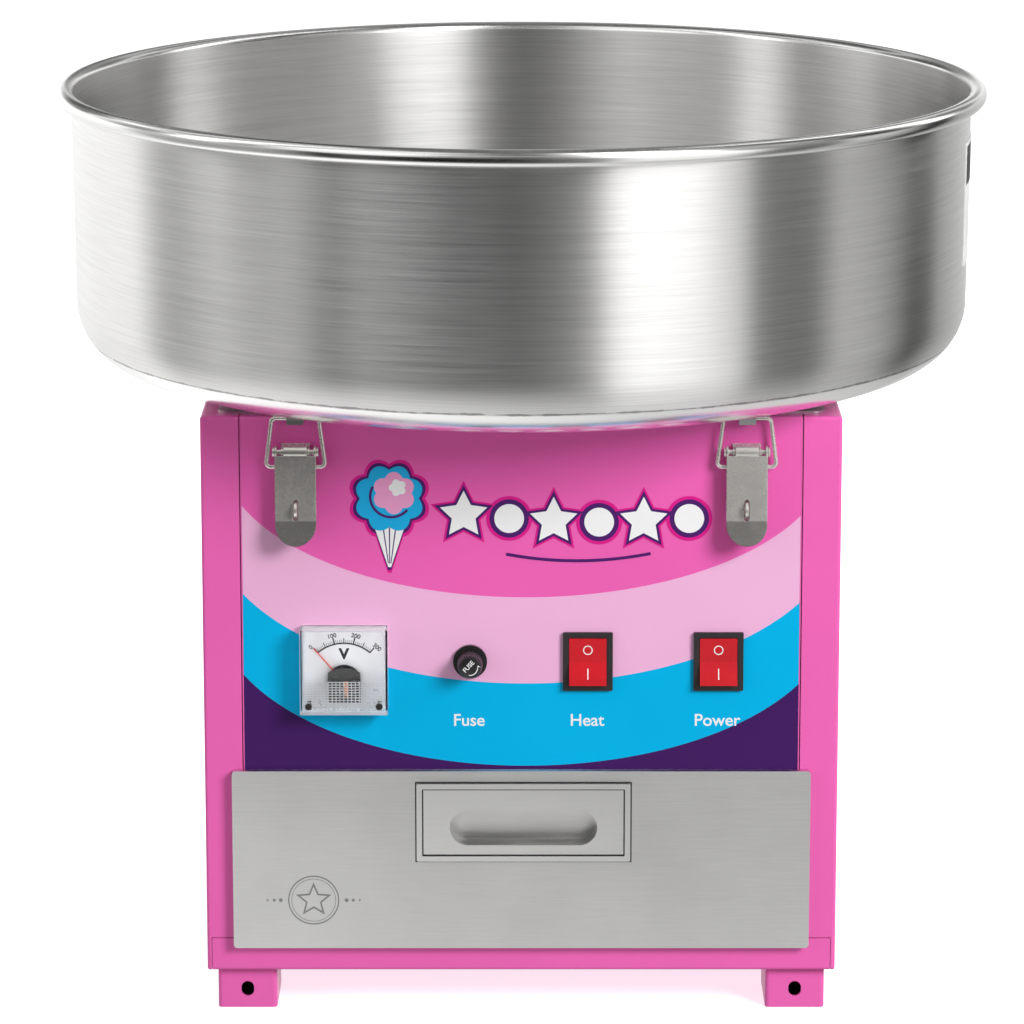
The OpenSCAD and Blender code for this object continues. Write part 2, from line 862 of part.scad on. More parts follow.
// Rubber bushes between bracket and top
module motor_grommets() {
    top = cab_z1 - sheet;
    color("black")
        for (p = bracket_holes)
            translate([p[0], p[1], 0]) {
                ring(2.2, 4.1, top - 7.2, top - 4.4);
                ring(2.2, 7, top - 4.5, top);
                ring(2.2, 7, top - 9, top - 7);
            }
}

sleeve_z0 = 286;

module slip_ring_sleeve() {
    color("saddlebrown") difference() {
        union() {
            translate([0, 0, sleeve_z0]) cylinder(h = 36, r = 15);
            for (z = [0, 17, 34])
                translate([0, 0, sleeve_z0 + z]) cylinder(h = 2, r = 18);
        }
        translate([0, 0, sleeve_z0 - 1]) cylinder(h = 38, r = shaft_d / 2 + 0.03);
    }
}

module slip_rings() {
    color("goldenrod")
        for (z = [4, 21])
            ring(15.03, 18.5, sleeve_z0 + z, sleeve_z0 + z + 11);
}

module brush_holder() {
    color("saddlebrown") difference() {
        union() {
            span([24, -9, motor_top + 2.5], [46, 9, 324]);
            span([24, -20, motor_top + 2.5], [46, 20, motor_top + 7]);
        }
        for (z = [4, 21])
            span([23, -4.6, sleeve_z0 + z + 1.9], [44, 4.6, sleeve_z0 + z + 9.1]);
    }
}

module carbon_brushes() {
    color("black")
        for (z = [4, 21])
            difference() {
                span([18, -4.5, sleeve_z0 + z + 2], [36, 4.5, sleeve_z0 + z + 9]);
                translate([0, 0, sleeve_z0]) cylinder(h = 40, r = 18.5 + gap);
            }
}

// ---------- spinner head ----------

head_r = head_d / 2;

// Dish with a hub, and a cone that sheds sugar outwards to the heater
module head_base() {
    color("gainsboro") rotate_extrude() difference() {
        union() {
            translate([shaft_d / 2, head_z]) square([10, 26]);
            polygon([
                [14, head_z + 22], [14, head_z + 14], [56, head_z + 4], [head_r - 6, head_z + 4],
                [head_r - 6, head_z + 8], [58, head_z + 8], [16, head_z + 26]
            ]);
            translate([head_r - 7, head_z + 4]) square([7, 4]);
            translate([head_r - 1.8, head_z + 4]) square([1.8, 7]);
        }
    }
}

screw_ring = head_r - 8;

// Corrugated heating ribbon
module heater_ring() {
    folds = 60;
    mid = head_r - 20;
    swing = 3;
    width = 0.5;
    wave = [for (i = [0:2 * folds - 1]) [i * 180 / folds, mid + (i % 2 == 0 ? swing : -swing)]];
    outside = [for (p = wave) (p[1] + width) * [cos(p[0]), sin(p[0])]];
    inside = [for (p = wave) (p[1] - width) * [cos(p[0]), sin(p[0])]];
    color("darkorange") translate([0, 0, band_z + 2.5]) linear_extrude(band_h - 5) difference() {
        polygon(outside);
        polygon(inside);
    }
    color("white") {
        ring(mid - 6, mid + 6, band_z, band_z + 2.5);
        ring(mid - 6, mid + 6, band_z + band_h - 2.5, band_z + band_h);
    }
}

// Slotted band that the molten sugar leaves through
module head_mesh() {
    r = head_r - 2;
    slots = 48;
    color("silver") difference() {
        ring(r - 0.8, r, band_z, band_z + band_h);
        for (i = [0:slots - 1])
            rotate(i * 360 / slots)
                span([r - 3, -1.6, band_z + 4], [r + 3, 1.6, band_z + band_h - 4]);
    }
}

module head_cover() {
    z = band_z + band_h;
    color("gainsboro") difference() {
        rotate_extrude() {
            polygon([
                [52, z + 7], [52, z + 9], [54, z + 9.5], [head_r - 4, z + 3], [head_r, z + 1.5],
                [head_r, z - 3], [head_r - 1.6, z - 3], [head_r - 1.6, z], [52, z]
            ]);
        }
        for (a = [0:60:300])
            rotate(a) translate([screw_ring, 0, z - 2]) cylinder(h = 12, r = 2.15);
    }
}

// Long screws that clamp the head together
module head_screws() {
    z = band_z + band_h;
    color("silver")
        for (a = [0:60:300]) rotate(a) translate([screw_ring, 0, 0]) {
            translate([0, 0, band_z]) cylinder(h = z + 6 - band_z, r = 2);
            translate([0, 0, z + 5]) cylinder(h = 2.4, r = 3.6);
        }
}

// ---------- cable gland and screws ----------

cord_x = -134;
cord_z = 156;

module cable_gland() {
    color("black") translate([cord_x, 0, cord_z]) difference() {
        union() {
            along_y(inner - 12, face + 2, 8);
            front_view(face, face + 5) circle(12, $fn = 6);
            along_y(face + 4.5, face + 13, 9.6);
            front_view(inner - 6, inner) circle(12, $fn = 6);
        }
        along_y(inner - 20, face + 20, 4.5);
    }
}

module screw(l) {
    cylinder(h = l + 1, r = screw_r);
    translate([0, 0, l]) difference() {
        cylinder(h = 2.2, r1 = 3.8, r2 = 3);
        span([-2.6, -0.4, 1.2], [2.6, 0.4, 3]);
        span([-0.4, -2.6, 1.2], [0.4, 2.6, 3]);
    }
}

module cabinet_screws() {
    color("silver") {
        for (p = back_screws)
            translate([p[0], inner - 6, p[1]]) rotate([-90, 0, 0]) screw(6 + sheet);
        for (s = [-1, 1], p = side_screws)
            translate([s * (side_in - 6), p[0], p[1]]) rotate([0, s * 90, 0]) screw(6 + sheet);
    }
}

side_panel(-1);  // side_panel_left
side_panel(1);  // side_panel_right
front_panel();
panel_overlay();
top_panel();
back_panel();
base_tray();
foot_row(true);  // front_feet
foot_row(false);  // rear_feet
foot_pads();
drawer_deck();
drawer_rails();
drawer_front();
drawer_box();
drawer_pull();
meter_cover();
meter_dial();
meter_body();
meter_movement();
meter_needle();
meter_screws();
fuse_holder();
fuse_cap();
fuse_link();
switch_frame(heat_x);  // heat_switch_frame
rocker(heat_x);  // heat_rocker
switch_frame(power_x);  // power_switch_frame
rocker(power_x);  // power_rocker
color(steel) for (c = corners) at_corner(c) latch_base();  // latch_bases
color(steel) for (c = corners) at_corner(c) latch_pin();  // latch_pins
color(steel) for (c = corners) at_corner(c) latch_rivet_pair();  // latch_rivets
color(steel) at_corner([-1, -1]) latch_lever();  // latch_lever_fl
color(steel) at_corner([1, -1]) latch_lever();  // latch_lever_fr
color(steel) at_corner([-1, 1]) latch_lever();  // latch_lever_bl
color(steel) at_corner([1, 1]) latch_lever();  // latch_lever_br
color(steel) at_corner([-1, -1]) latch_bail();  // latch_bail_fl
color(steel) at_corner([1, -1]) latch_bail();  // latch_bail_fr
color(steel) at_corner([-1, 1]) latch_bail();  // latch_bail_bl
color(steel) at_corner([1, 1]) latch_bail();  // latch_bail_br
bowl();
bowl_base_plate();
bowl_label();
motor_housing();
motor_bracket();
motor_grommets();
motor_bearings();
motor_shaft();
motor_rotor();
motor_fan();
slip_ring_sleeve();
slip_rings();
brush_holder();
carbon_brushes();
head_base();
heater_ring();
head_mesh();
head_cover();
head_screws();
cable_gland();
cabinet_screws();
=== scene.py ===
"""Looks of the cotton candy machine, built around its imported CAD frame.

Lengths are in millimetres. Those of materials, floor, reflector, lights and camera are in metres.
"""

import math

import bmesh
import bpy
from mathutils import Matrix, Vector


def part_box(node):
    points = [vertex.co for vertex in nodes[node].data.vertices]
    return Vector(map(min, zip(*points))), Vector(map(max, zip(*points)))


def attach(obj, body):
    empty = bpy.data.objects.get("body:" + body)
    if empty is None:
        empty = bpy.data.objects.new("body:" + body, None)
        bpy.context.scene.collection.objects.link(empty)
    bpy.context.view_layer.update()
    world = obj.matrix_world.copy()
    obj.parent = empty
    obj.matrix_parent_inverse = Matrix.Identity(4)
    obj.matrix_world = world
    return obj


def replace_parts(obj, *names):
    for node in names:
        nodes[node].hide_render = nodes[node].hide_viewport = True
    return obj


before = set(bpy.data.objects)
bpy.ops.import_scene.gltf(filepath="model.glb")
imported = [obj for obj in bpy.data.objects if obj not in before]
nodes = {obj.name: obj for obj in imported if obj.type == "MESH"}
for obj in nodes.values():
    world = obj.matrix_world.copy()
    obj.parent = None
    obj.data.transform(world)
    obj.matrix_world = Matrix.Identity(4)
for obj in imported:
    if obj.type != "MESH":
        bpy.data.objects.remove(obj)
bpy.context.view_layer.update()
scene = bpy.context.scene
MM = 0.001


# ---------- node helpers ----------

def new_material(name):
    """A material with an empty node tree but for its output."""
    mat = bpy.data.materials.new(name)
    mat.use_nodes = True
    mat.node_tree.nodes.clear()
    out = mat.node_tree.nodes.new("ShaderNodeOutputMaterial")
    return mat, out


def add(mat, kind, values=None, **settings):
    """Adds a node. settings are its properties, values its inputs: numbers, colours or sockets to link."""
    node = mat.node_tree.nodes.new("ShaderNode" + kind)
    for key, value in settings.items():
        setattr(node, key, value)
    for key, value in (values or {}).items():
        if isinstance(value, bpy.types.NodeSocket):
            mat.node_tree.links.new(value, node.inputs[key])
        else:
            node.inputs[key].default_value = value
    return node


def rgba(color):
    return (*color[:3], 1.0)


def stretched(mat, scale):
    """Object coordinates multiplied by scale, for grain that runs one way."""
    place = add(mat, "TexCoord").outputs["Object"]
    return add(mat, "Mapping", {"Vector": place, "Scale": scale}).outputs["Vector"]


def math_node(mat, operation, a, b=0.0):
    return add(mat, "Math", {0: a, 1: b}, operation=operation).outputs[0]


def round_the_axis(mat, along, across):
    """Coordinates for grain round the vertical axis, whose features are 1/along long and 1/across wide."""
    place = add(mat, "SeparateXYZ", {0: add(mat, "TexCoord").outputs["Object"]})
    x, y, z = (place.outputs[i] for i in range(3))
    square = math_node(mat, "ADD", math_node(mat, "MULTIPLY", x, x), math_node(mat, "MULTIPLY", y, y))
    level = math_node(mat, "ADD", math_node(mat, "SQRT", square), math_node(mat, "MULTIPLY", z, 0.8))
    scaled = {
        0: math_node(mat, "MULTIPLY", x, along),
        1: math_node(mat, "MULTIPLY", y, along),
        2: math_node(mat, "MULTIPLY", level, across),
    }
    return add(mat, "CombineXYZ", scaled).outputs[0]


def upright_tangent(mat):
    """Tangent round the vertical axis. Turned by a quarter, it blurs reflections up and down."""
    return add(mat, "Tangent", direction_type="RADIAL", axis="Z").outputs[0]


def noise(mat, vector, scale, detail=4.0, rough=0.55):
    values = {"Vector": vector, "Scale": scale, "Detail": detail, "Roughness": rough}
    return add(mat, "TexNoise", values).outputs["Fac"]


def between(mat, fac, low, high):
    """Maps a noise factor onto a range of numbers."""
    values = {"Value": fac, "From Min": 0.3, "From Max": 0.7, "To Min": low, "To Max": high}
    return add(mat, "MapRange", values).outputs[0]


def tint(mat, fac, dark, light):
    ramp = add(mat, "ValToRGB", {"Fac": fac})
    ramp.color_ramp.elements[0].position, ramp.color_ramp.elements[0].color = 0.3, rgba(dark)
    ramp.color_ramp.elements[1].position, ramp.color_ramp.elements[1].color = 0.7, rgba(light)
    return ramp.outputs["Color"]


def shade(color, factor):
    return tuple(min(1.0, c * factor) for c in color[:3])


def bumped(mat, height, distance, strength=1.0, below=None):
    values = {"Height": height, "Distance": distance, "Strength": strength}
    if below is not None:
        values["Normal"] = below
    return add(mat, "Bump", values).outputs["Normal"]


def finish_material(mat, out, **inputs):
    """A Principled shader with these inputs, linked to the output."""
    values = {key.replace("_", " "): value for key, value in inputs.items()}
    shader = add(mat, "BsdfPrincipled", values)
    mat.node_tree.links.new(shader.outputs[0], out.inputs[0])
    return mat


# ---------- materials ----------

def painted(name, color, gloss=0.34, peel=0.00004, shine=0.3):
    """Powder coat or printed film: slight mottling, fine orange peel and faint smears."""
    mat, out = new_material(name)
    place = stretched(mat, (1, 1, 1))
    cloud = noise(mat, place, 9.0)
    peel_noise = noise(mat, place, 900.0, 2.0)
    smear = noise(mat, place, 45.0, 6.0, 0.7)
    return finish_material(
        mat, out,
        Base_Color=tint(mat, cloud, shade(color, 0.97), shade(color, 1.03)),
        Roughness=between(mat, smear, gloss - 0.05, gloss + 0.07),
        Normal=bumped(mat, peel_noise, peel),
        Specular_IOR_Level=shine,
    )


def plastic(name, color, gloss=0.45, grain=700.0, depth=0.00003, **inputs):
    """Moulded plastic with a fine grain and a little dust in its roughness."""
    mat, out = new_material(name)
    place = stretched(mat, (1, 1, 1))
    return finish_material(
        mat, out,
        Base_Color=tint(mat, noise(mat, place, 60.0), shade(color, 0.92), shade(color, 1.08)),
        Roughness=between(mat, noise(mat, place, 160.0, 6.0, 0.7), gloss - 0.06, gloss + 0.08),
        Normal=bumped(mat, noise(mat, place, grain, 2.0), depth),
        **inputs,
    )


def brushed(name, color, scale, gloss=0.3, depth=0.00002, contrast=0.05, stretch=0.0):
    """Steel brushed along one direction. scale is small along the brushing and large across it."""
    mat, out = new_material(name)
    fine = noise(mat, stretched(mat, scale), 1.0, 5.0, 0.65)
    cloud = noise(mat, stretched(mat, (1, 1, 1)), 14.0)
    half = math_node(mat, "MULTIPLY", math_node(mat, "ADD", fine, cloud), 0.5)
    return finish_material(
        mat, out,
        Base_Color=tint(mat, half, shade(color, 1 - contrast), shade(color, 1 + contrast)),
        Metallic=1.0,
        Roughness=between(mat, fine, gloss - 0.05, gloss + 0.08),
        Anisotropic=stretch,
        Anisotropic_Rotation=0.25,
        Tangent=upright_tangent(mat),
        Normal=bumped(mat, fine, depth),
    )


def spun(name, color, gloss=0.3, depth=0.00002, contrast=0.05, stretch=0.75, line=None):
    """Metal brushed round the vertical axis. line is the height of a thin, broken dark band in its colour."""
    mat, out = new_material(name)
    fine = noise(mat, round_the_axis(mat, 26.0, 2000.0), 1.0, 3.0, 0.6)
    broad = noise(mat, round_the_axis(mat, 9.0, 800.0), 1.0, 3.0, 0.6)
    half = math_node(mat, "MULTIPLY", math_node(mat, "ADD", fine, broad), 0.5)
    metal = tint(mat, half, shade(color, 1 - contrast), shade(color, 1 + contrast))
    # A thin, broken band of darker colour round the bowl at the height line
    if line is not None:
        z = add(mat, "SeparateXYZ", {0: add(mat, "TexCoord").outputs["Object"]}).outputs["Z"]
        waver = math_node(mat, "MULTIPLY", noise(mat, stretched(mat, (1, 1, 1)), 60.0), 0.0012)
        height = math_node(mat, "SUBTRACT", z, waver)
        off = math_node(mat, "ABSOLUTE", math_node(mat, "SUBTRACT", height, line - 0.0006))
        broken = between(mat, noise(mat, stretched(mat, (1, 1, 1)), 130.0), 0.0, 0.0009)
        dark_line_mask = math_node(mat, "LESS_THAN", off, broken)
        metal = add(mat, "Mix", {"Factor": math_node(mat, "MULTIPLY", dark_line_mask, 0.7), "A": metal,
                                 "B": rgba(shade(color, 0.25))}, data_type="RGBA").outputs["Result"]
    return finish_material(
        mat, out,
        Base_Color=metal,
        Metallic=1.0,
        Roughness=between(mat, half, gloss - 0.03, gloss + 0.05),
        Anisotropic=stretch,
        Anisotropic_Rotation=0.25,
        Tangent=upright_tangent(mat),
        Normal=bumped(mat, fine, depth),
    )


def plated(name, color, gloss=0.25, depth=0.00002, uneven=0.1, edge=0.0, metal=1.0, painted_dark_reflection_below=None):
    """Plated or cast metal with a faintly uneven surface and dulled patches.

    edge rounds its corners, in metres. Below the height painted_dark_reflection_below the colour is painted
    dark: painted shade standing for the dark reflection of the shaded bowl above.
    """
    mat, out = new_material(name)
    place = stretched(mat, (1, 1, 1))
    patch = noise(mat, place, 120.0, 6.0, 0.7)
    under = add(mat, "Bevel", {"Radius": edge}, samples=6).outputs[0] if edge else None
    metal_color = tint(mat, patch, shade(color, 1 - uneven), shade(color, 1 + uneven / 2))
    # Painted shade: below that height the colour darkens, standing for the bowl's dark reflection in the
    # levers' tabs
    if painted_dark_reflection_below is not None:
        z = add(mat, "SeparateXYZ", {0: add(mat, "TexCoord").outputs["Object"]}).outputs["Z"]
        start, end = painted_dark_reflection_below - 0.0004, painted_dark_reflection_below + 0.0002
        fade = {"Value": z, "From Min": start, "From Max": end, "To Min": 0.8, "To Max": 0.0}
        low = add(mat, "MapRange", fade).outputs[0]
        metal_color = add(mat, "Mix", {"Factor": low, "A": metal_color, "B": rgba(shade(color, 0.12))},
                          data_type="RGBA").outputs["Result"]
    return finish_material(
        mat, out,
        Base_Color=metal_color,
        Metallic=metal,
        Roughness=between(mat, patch, gloss - uneven / 2, gloss + uneven),
        Normal=bumped(mat, noise(mat, place, 300.0, 3.0), depth, below=under),
    )


def clear(name, color, gloss=0.03, ior=1.49, frost=0.0):
    """Clear plastic or glass with faint smears. frost is how milky the walls that face sideways are."""
    mat, out = new_material(name)
    place = stretched(mat, (1, 1, 1))
    smear = between(mat, noise(mat, place, 150.0, 5.0, 0.7), gloss, gloss + 0.04)
    glass = add(mat, "BsdfPrincipled", {
        "Base Color": rgba(color),
        "Roughness": smear,
        "Transmission Weight": 1.0,
        "IOR": ior,
        "Normal": bumped(mat, noise(mat, place, 90.0, 2.0), 0.00002),
    })
    cloudy = tint(mat, noise(mat, place, 200.0), shade(color, 0.9), color)
    milk = add(mat, "BsdfTranslucent", {"Color": cloudy})
    facing = add(mat, "SeparateXYZ", {0: add(mat, "NewGeometry").outputs["Normal"]}).outputs["Y"]
    sideways = math_node(mat, "LESS_THAN", math_node(mat, "ABSOLUTE", facing), 0.5)
    side = math_node(mat, "MULTIPLY", sideways, frost)
    mix = add(mat, "MixShader", {0: side, 1: glass.outputs[0], 2: milk.outputs[0]})
    mat.node_tree.links.new(mix.outputs[0], out.inputs[0])
    return mat


POLISH_LINE = 0.3575                             # height at which the bowl's brushed zone ends
LEVER_BEND = 0.2797                              # height at which the closed levers' tabs begin
BRUSHED = (40, 1200, 1900)                       # grain along X on the drawer's front
NICKEL = (0.80, 0.775, 0.73)
STEEL_WHITE = (0.80, 0.795, 0.785)

pink_paint = painted("pink powder coat", (0.86, 0.135, 0.47))
film_magenta = painted("film magenta", (0.85, 0.125, 0.46), 0.36)
film_rose = painted("film rose", (0.87, 0.46, 0.71), 0.36)
film_cyan = painted("film cyan", (0.0, 0.45, 0.80), 0.36, shine=0.12)
film_purple = painted("film purple", (0.055, 0.012, 0.115), 0.36, shine=0.12)
ink_white = painted("ink white", (0.88, 0.88, 0.88), 0.4)
ink_purple = painted("ink purple", (0.07, 0.012, 0.14), 0.4)
ink_magenta = painted("ink magenta", (0.72, 0.01, 0.26), 0.4)
ink_cyan = painted("ink cyan", (0.01, 0.42, 0.78), 0.4)
ink_pink = painted("ink pink", (0.86, 0.36, 0.62), 0.4)
# Black ink for print, also used for the painted shadow in the gaps round the drawer's pull
black_ink_and_painted_shadow = painted("ink black", (0.012, 0.012, 0.014), 0.45)
ink_etch = plated("etched mark", (0.30, 0.30, 0.30), 0.5)
bowl_steel = spun("spun bowl steel", STEEL_WHITE, 0.31, 0.00002, 0.13, 1.0, line=POLISH_LINE)
bowl_polish = spun("polished bowl steel", (0.84, 0.835, 0.825), 0.2, 0.00001, 0.05, 0.2)
plate_steel = brushed("plate steel", (0.72, 0.72, 0.72), (12, 700, 700), 0.32)
drawer_steel = brushed("brushed drawer steel", (0.78, 0.775, 0.765), BRUSHED, 0.42, 0.00003, 0.1, 0.8)
pull_steel = brushed("brushed pull steel", STEEL_WHITE, BRUSHED, 0.34, 0.00002, 0.06, 0.7)
zinc_steel = plated("zinc plate", (0.66, 0.67, 0.69), 0.34)
nickel = plated("nickel plate", NICKEL, 0.26, 0.000003, 0.04, 0.0005, 0.72)
# The levers' tabs below LEVER_BEND are painted dark: painted shade for the bowl's dark reflection in them
lever_nickel = plated("nickel plate of the levers", NICKEL, 0.26, 0.000003, 0.04, 0.0005, 0.72, LEVER_BEND)
screw_metal = plated("screw plate", (0.70, 0.70, 0.71), 0.26)
dark_screw = plated("blackened screw", (0.10, 0.09, 0.085), 0.4)
black_plastic = plastic("black plastic", (0.016, 0.015, 0.016), 0.34)
frame_black = plastic("switch frame plastic", (0.024, 0.021, 0.023), 0.42, 500.0, 0.00005)
movement_black = plastic("movement plastic", (0.012, 0.012, 0.012), 0.25)
rocker_red = plastic("red translucent plastic", (0.80, 0.018, 0.03), 0.16, 300.0, 0.00001,
                     Transmission_Weight=0.25, Coat_Weight=0.5, Coat_Roughness=0.05)
cover_clear = clear("clear cover", (0.98, 0.985, 0.99), 0.03, 1.2, 0.45)
prism_clear = plastic("frosted prisms", (0.85, 0.86, 0.88), 0.3, Transmission_Weight=0.5)
fuse_glass = clear("fuse glass", (0.95, 0.98, 0.98), 0.02, 1.5)
dial_card = plastic("dial card", (0.86, 0.87, 0.89), 0.55)
meter_plastic = plastic("meter plastic", (0.80, 0.82, 0.84), 0.4)
needle_red = plastic("needle paint", (0.80, 0.03, 0.025), 0.4)
pad_rubber = plastic("rubber", (0.03, 0.03, 0.03), 0.7, 400.0, 0.00006)
cast_grey = plated("cast motor", (0.42, 0.44, 0.46), 0.45, 0.00008)
head_metal = spun("turned aluminium", (0.78, 0.785, 0.79), 0.26)
mesh_metal = plated("pierced band", (0.62, 0.62, 0.62), 0.35)
copper = plated("copper winding", (0.72, 0.33, 0.16), 0.35)
shaft_steel = spun("ground shaft", (0.60, 0.60, 0.61), 0.22)
phenolic = plastic("phenolic", (0.16, 0.06, 0.025), 0.4)
brass = spun("slip ring brass", (0.80, 0.56, 0.22), 0.25)
graphite = plastic("graphite", (0.03, 0.03, 0.032), 0.5)
heater_metal = plated("oxidised ribbon", (0.30, 0.24, 0.20), 0.5)
label_paper = plastic("label film", (0.84, 0.84, 0.83), 0.35)

FINISH = {
    "side_panel_left": pink_paint, "side_panel_right": pink_paint, "front_panel": pink_paint,
    "top_panel": pink_paint, "back_panel": pink_paint, "base_tray": pink_paint,
    "front_feet": pink_paint, "rear_feet": pink_paint, "panel_overlay": film_magenta,
    "foot_pads": pad_rubber, "drawer_deck": zinc_steel, "drawer_rails": zinc_steel,
    "drawer_front": drawer_steel, "drawer_box": zinc_steel, "drawer_pull": pull_steel,
    "meter_cover": cover_clear, "meter_dial": dial_card, "meter_body": meter_plastic,
    "meter_movement": movement_black, "meter_needle": needle_red, "meter_screws": dark_screw,
    "fuse_holder": black_plastic, "fuse_cap": black_plastic, "fuse_link": fuse_glass,
    "heat_switch_frame": frame_black, "power_switch_frame": frame_black,
    "heat_rocker": rocker_red, "power_rocker": rocker_red,
    "bowl": bowl_steel, "bowl_base_plate": plate_steel, "bowl_label": label_paper,
    "motor_housing": cast_grey, "motor_bracket": zinc_steel, "motor_grommets": pad_rubber,
    "motor_bearings": shaft_steel, "motor_shaft": shaft_steel, "motor_rotor": copper,
    "motor_fan": black_plastic, "slip_ring_sleeve": phenolic, "slip_rings": brass,
    "brush_holder": phenolic, "carbon_brushes": graphite, "head_base": head_metal,
    "heater_ring": heater_metal, "head_mesh": mesh_metal, "head_cover": head_metal,
    "head_screws": screw_metal, "cable_gland": black_plastic, "cabinet_screws": screw_metal,
}
for name, obj in nodes.items():
    obj.data.materials.clear()
    latch = lever_nickel if name.startswith("latch_lever_") else nickel
    obj.data.materials.append(latch if name.startswith("latch_") else FINISH[name])


# ---------- geometry helpers ----------

def place_piece(name, mesh, mat, body):
    """Makes an object of a mesh that is already in the row frame, in metres, and rides it on its body."""
    mesh.name = name
    mesh.materials.clear()
    mesh.materials.append(mat)
    obj = bpy.data.objects.new(name, mesh)
    scene.collection.objects.link(obj)
    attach(obj, body)
    return obj


def from_curve(curve, matrix):
    """The mesh of a curve or text, moved by matrix (whose lengths are millimetres)."""
    temp = bpy.data.objects.new("temp", curve)
    scene.collection.objects.link(temp)
    bpy.context.view_layer.update()
    mesh = bpy.data.meshes.new_from_object(temp.evaluated_get(bpy.context.evaluated_depsgraph_get()))
    bpy.data.objects.remove(temp)
    mesh.transform(Matrix.Scale(MM, 4) @ matrix)
    return mesh


# A drawing's x and y become the front's x and z, and its thickness points towards the user
FRONT = Matrix.Rotation(math.radians(90), 4, "X")


def drawing(loops, thick):
    """A flat curve filled between closed loops of points."""
    curve = bpy.data.curves.new("drawing", "CURVE")
    curve.dimensions, curve.fill_mode, curve.extrude = "2D", "BOTH", thick / 2
    for loop in loops:
        spline = curve.splines.new("POLY")
        spline.points.add(len(loop) - 1)
        for point, (x, z) in zip(spline.points, loop):
            point.co = (x, z, 0, 1)
        spline.use_cyclic_u = True
    return curve


def decal(name, loops, y, mat, body="cabinet", thick=0.05):
    """A thin printed or etched shape whose back lies on the front surface at y."""
    matrix = Matrix.Translation((0, y - thick / 2, 0)) @ FRONT
    return place_piece(name, from_curve(drawing(loops, thick), matrix), mat, body)


def lettering(name, words, size, matrix, mat, body, thick=0.05, stroke=0.0):
    """Raised lettering, centred on matrix's origin."""
    text = bpy.data.curves.new("lettering", "FONT")
    text.body, text.size, text.extrude, text.offset = words, size, thick / 2, stroke
    text.align_x, text.align_y = "CENTER", "CENTER"
    return place_piece(name, from_curve(text, matrix), mat, body)


def circle(x, z, r, steps=48, start=0.0, end=360.0):
    """Points round a circle, the last one left out on a whole turn."""
    whole = abs(end - start) >= 360
    count = steps if whole else steps + 1
    turn = [math.radians(start + (end - start) * i / steps) for i in range(count)]
    return [(x + r * math.cos(a), z + r * math.sin(a)) for a in turn]


def arc_band(x, z, r0, r1, start, end, steps=32):
    """Closed loop of a band that follows part of a circle."""
    return circle(x, z, r1, steps, start, end) + circle(x, z, r0, steps, start, end)[::-1]


def star(x, z, r, inner=0.45, points=5):
    """Outline of a star with its tips at r and its notches at inner times r."""
    outline = []
    for i in range(2 * points):
        a = math.radians(90 + 180 * i / points)
        reach = r * (1 if i % 2 == 0 else inner)
        outline.append((x + reach * math.cos(a), z + reach * math.sin(a)))
    return outline


def lathe(profile, steps, wobble=None):
    """Turns a closed profile of (radius, height) round Z. wobble(angle, index) adds to a radius."""
    mesh, bm = bpy.data.meshes.new("lathe"), bmesh.new()
    rings = []
    for s in range(steps):
        angle = 2 * math.pi * s / steps
        ring = []
        for i, (r, z) in enumerate(profile):
            radius = r + (wobble(angle, i) if wobble else 0)
            ring.append(bm.verts.new((radius * math.cos(angle), radius * math.sin(angle), z)))
        rings.append(ring)
    count = len(profile)
    for s in range(steps):
        here, there = rings[s], rings[(s + 1) % steps]
        for i in range(count):
            bm.faces.new((here[i], there[i], there[(i + 1) % count], here[(i + 1) % count]))
    bmesh.ops.remove_doubles(bm, verts=bm.verts, dist=1e-5)
    bmesh.ops.recalc_face_normals(bm, faces=bm.faces)
    bm.to_mesh(mesh)
    bm.free()
    return mesh


def smooth(mesh, angle=40.0):
    """Smooth shading, with edges sharper than angle kept crisp."""
    for polygon in mesh.polygons:
        polygon.use_smooth = True
    mesh.set_sharp_from_angle(angle=math.radians(angle))


def soften(names, width):
    """Rounds the sharp edges of CAD nodes a little, so that they catch the light."""
    for name in names:
        bevel = nodes[name].modifiers.new("edge", "BEVEL")
        bevel.width, bevel.segments = width * MM, 2
        bevel.limit_method, bevel.angle_limit = "ANGLE", math.radians(40)
        bevel.harden_normals = False


# ---------- bowl ----------

bowl_low, bowl_high = (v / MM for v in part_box("bowl"))
RIM_R, RIM_Z = min(bowl_high.x, bowl_high.y, -bowl_low.y) - 0.02, bowl_high.z - 0.02
WALL_R = 251.4                                  # outer radius of the wall at its top
BOWL_Z = RIM_Z - 153.98                         # outer floor
BEND = 33.0
STEEL = 1.2
WALL_H = 116.1                                  # height of the straight wall


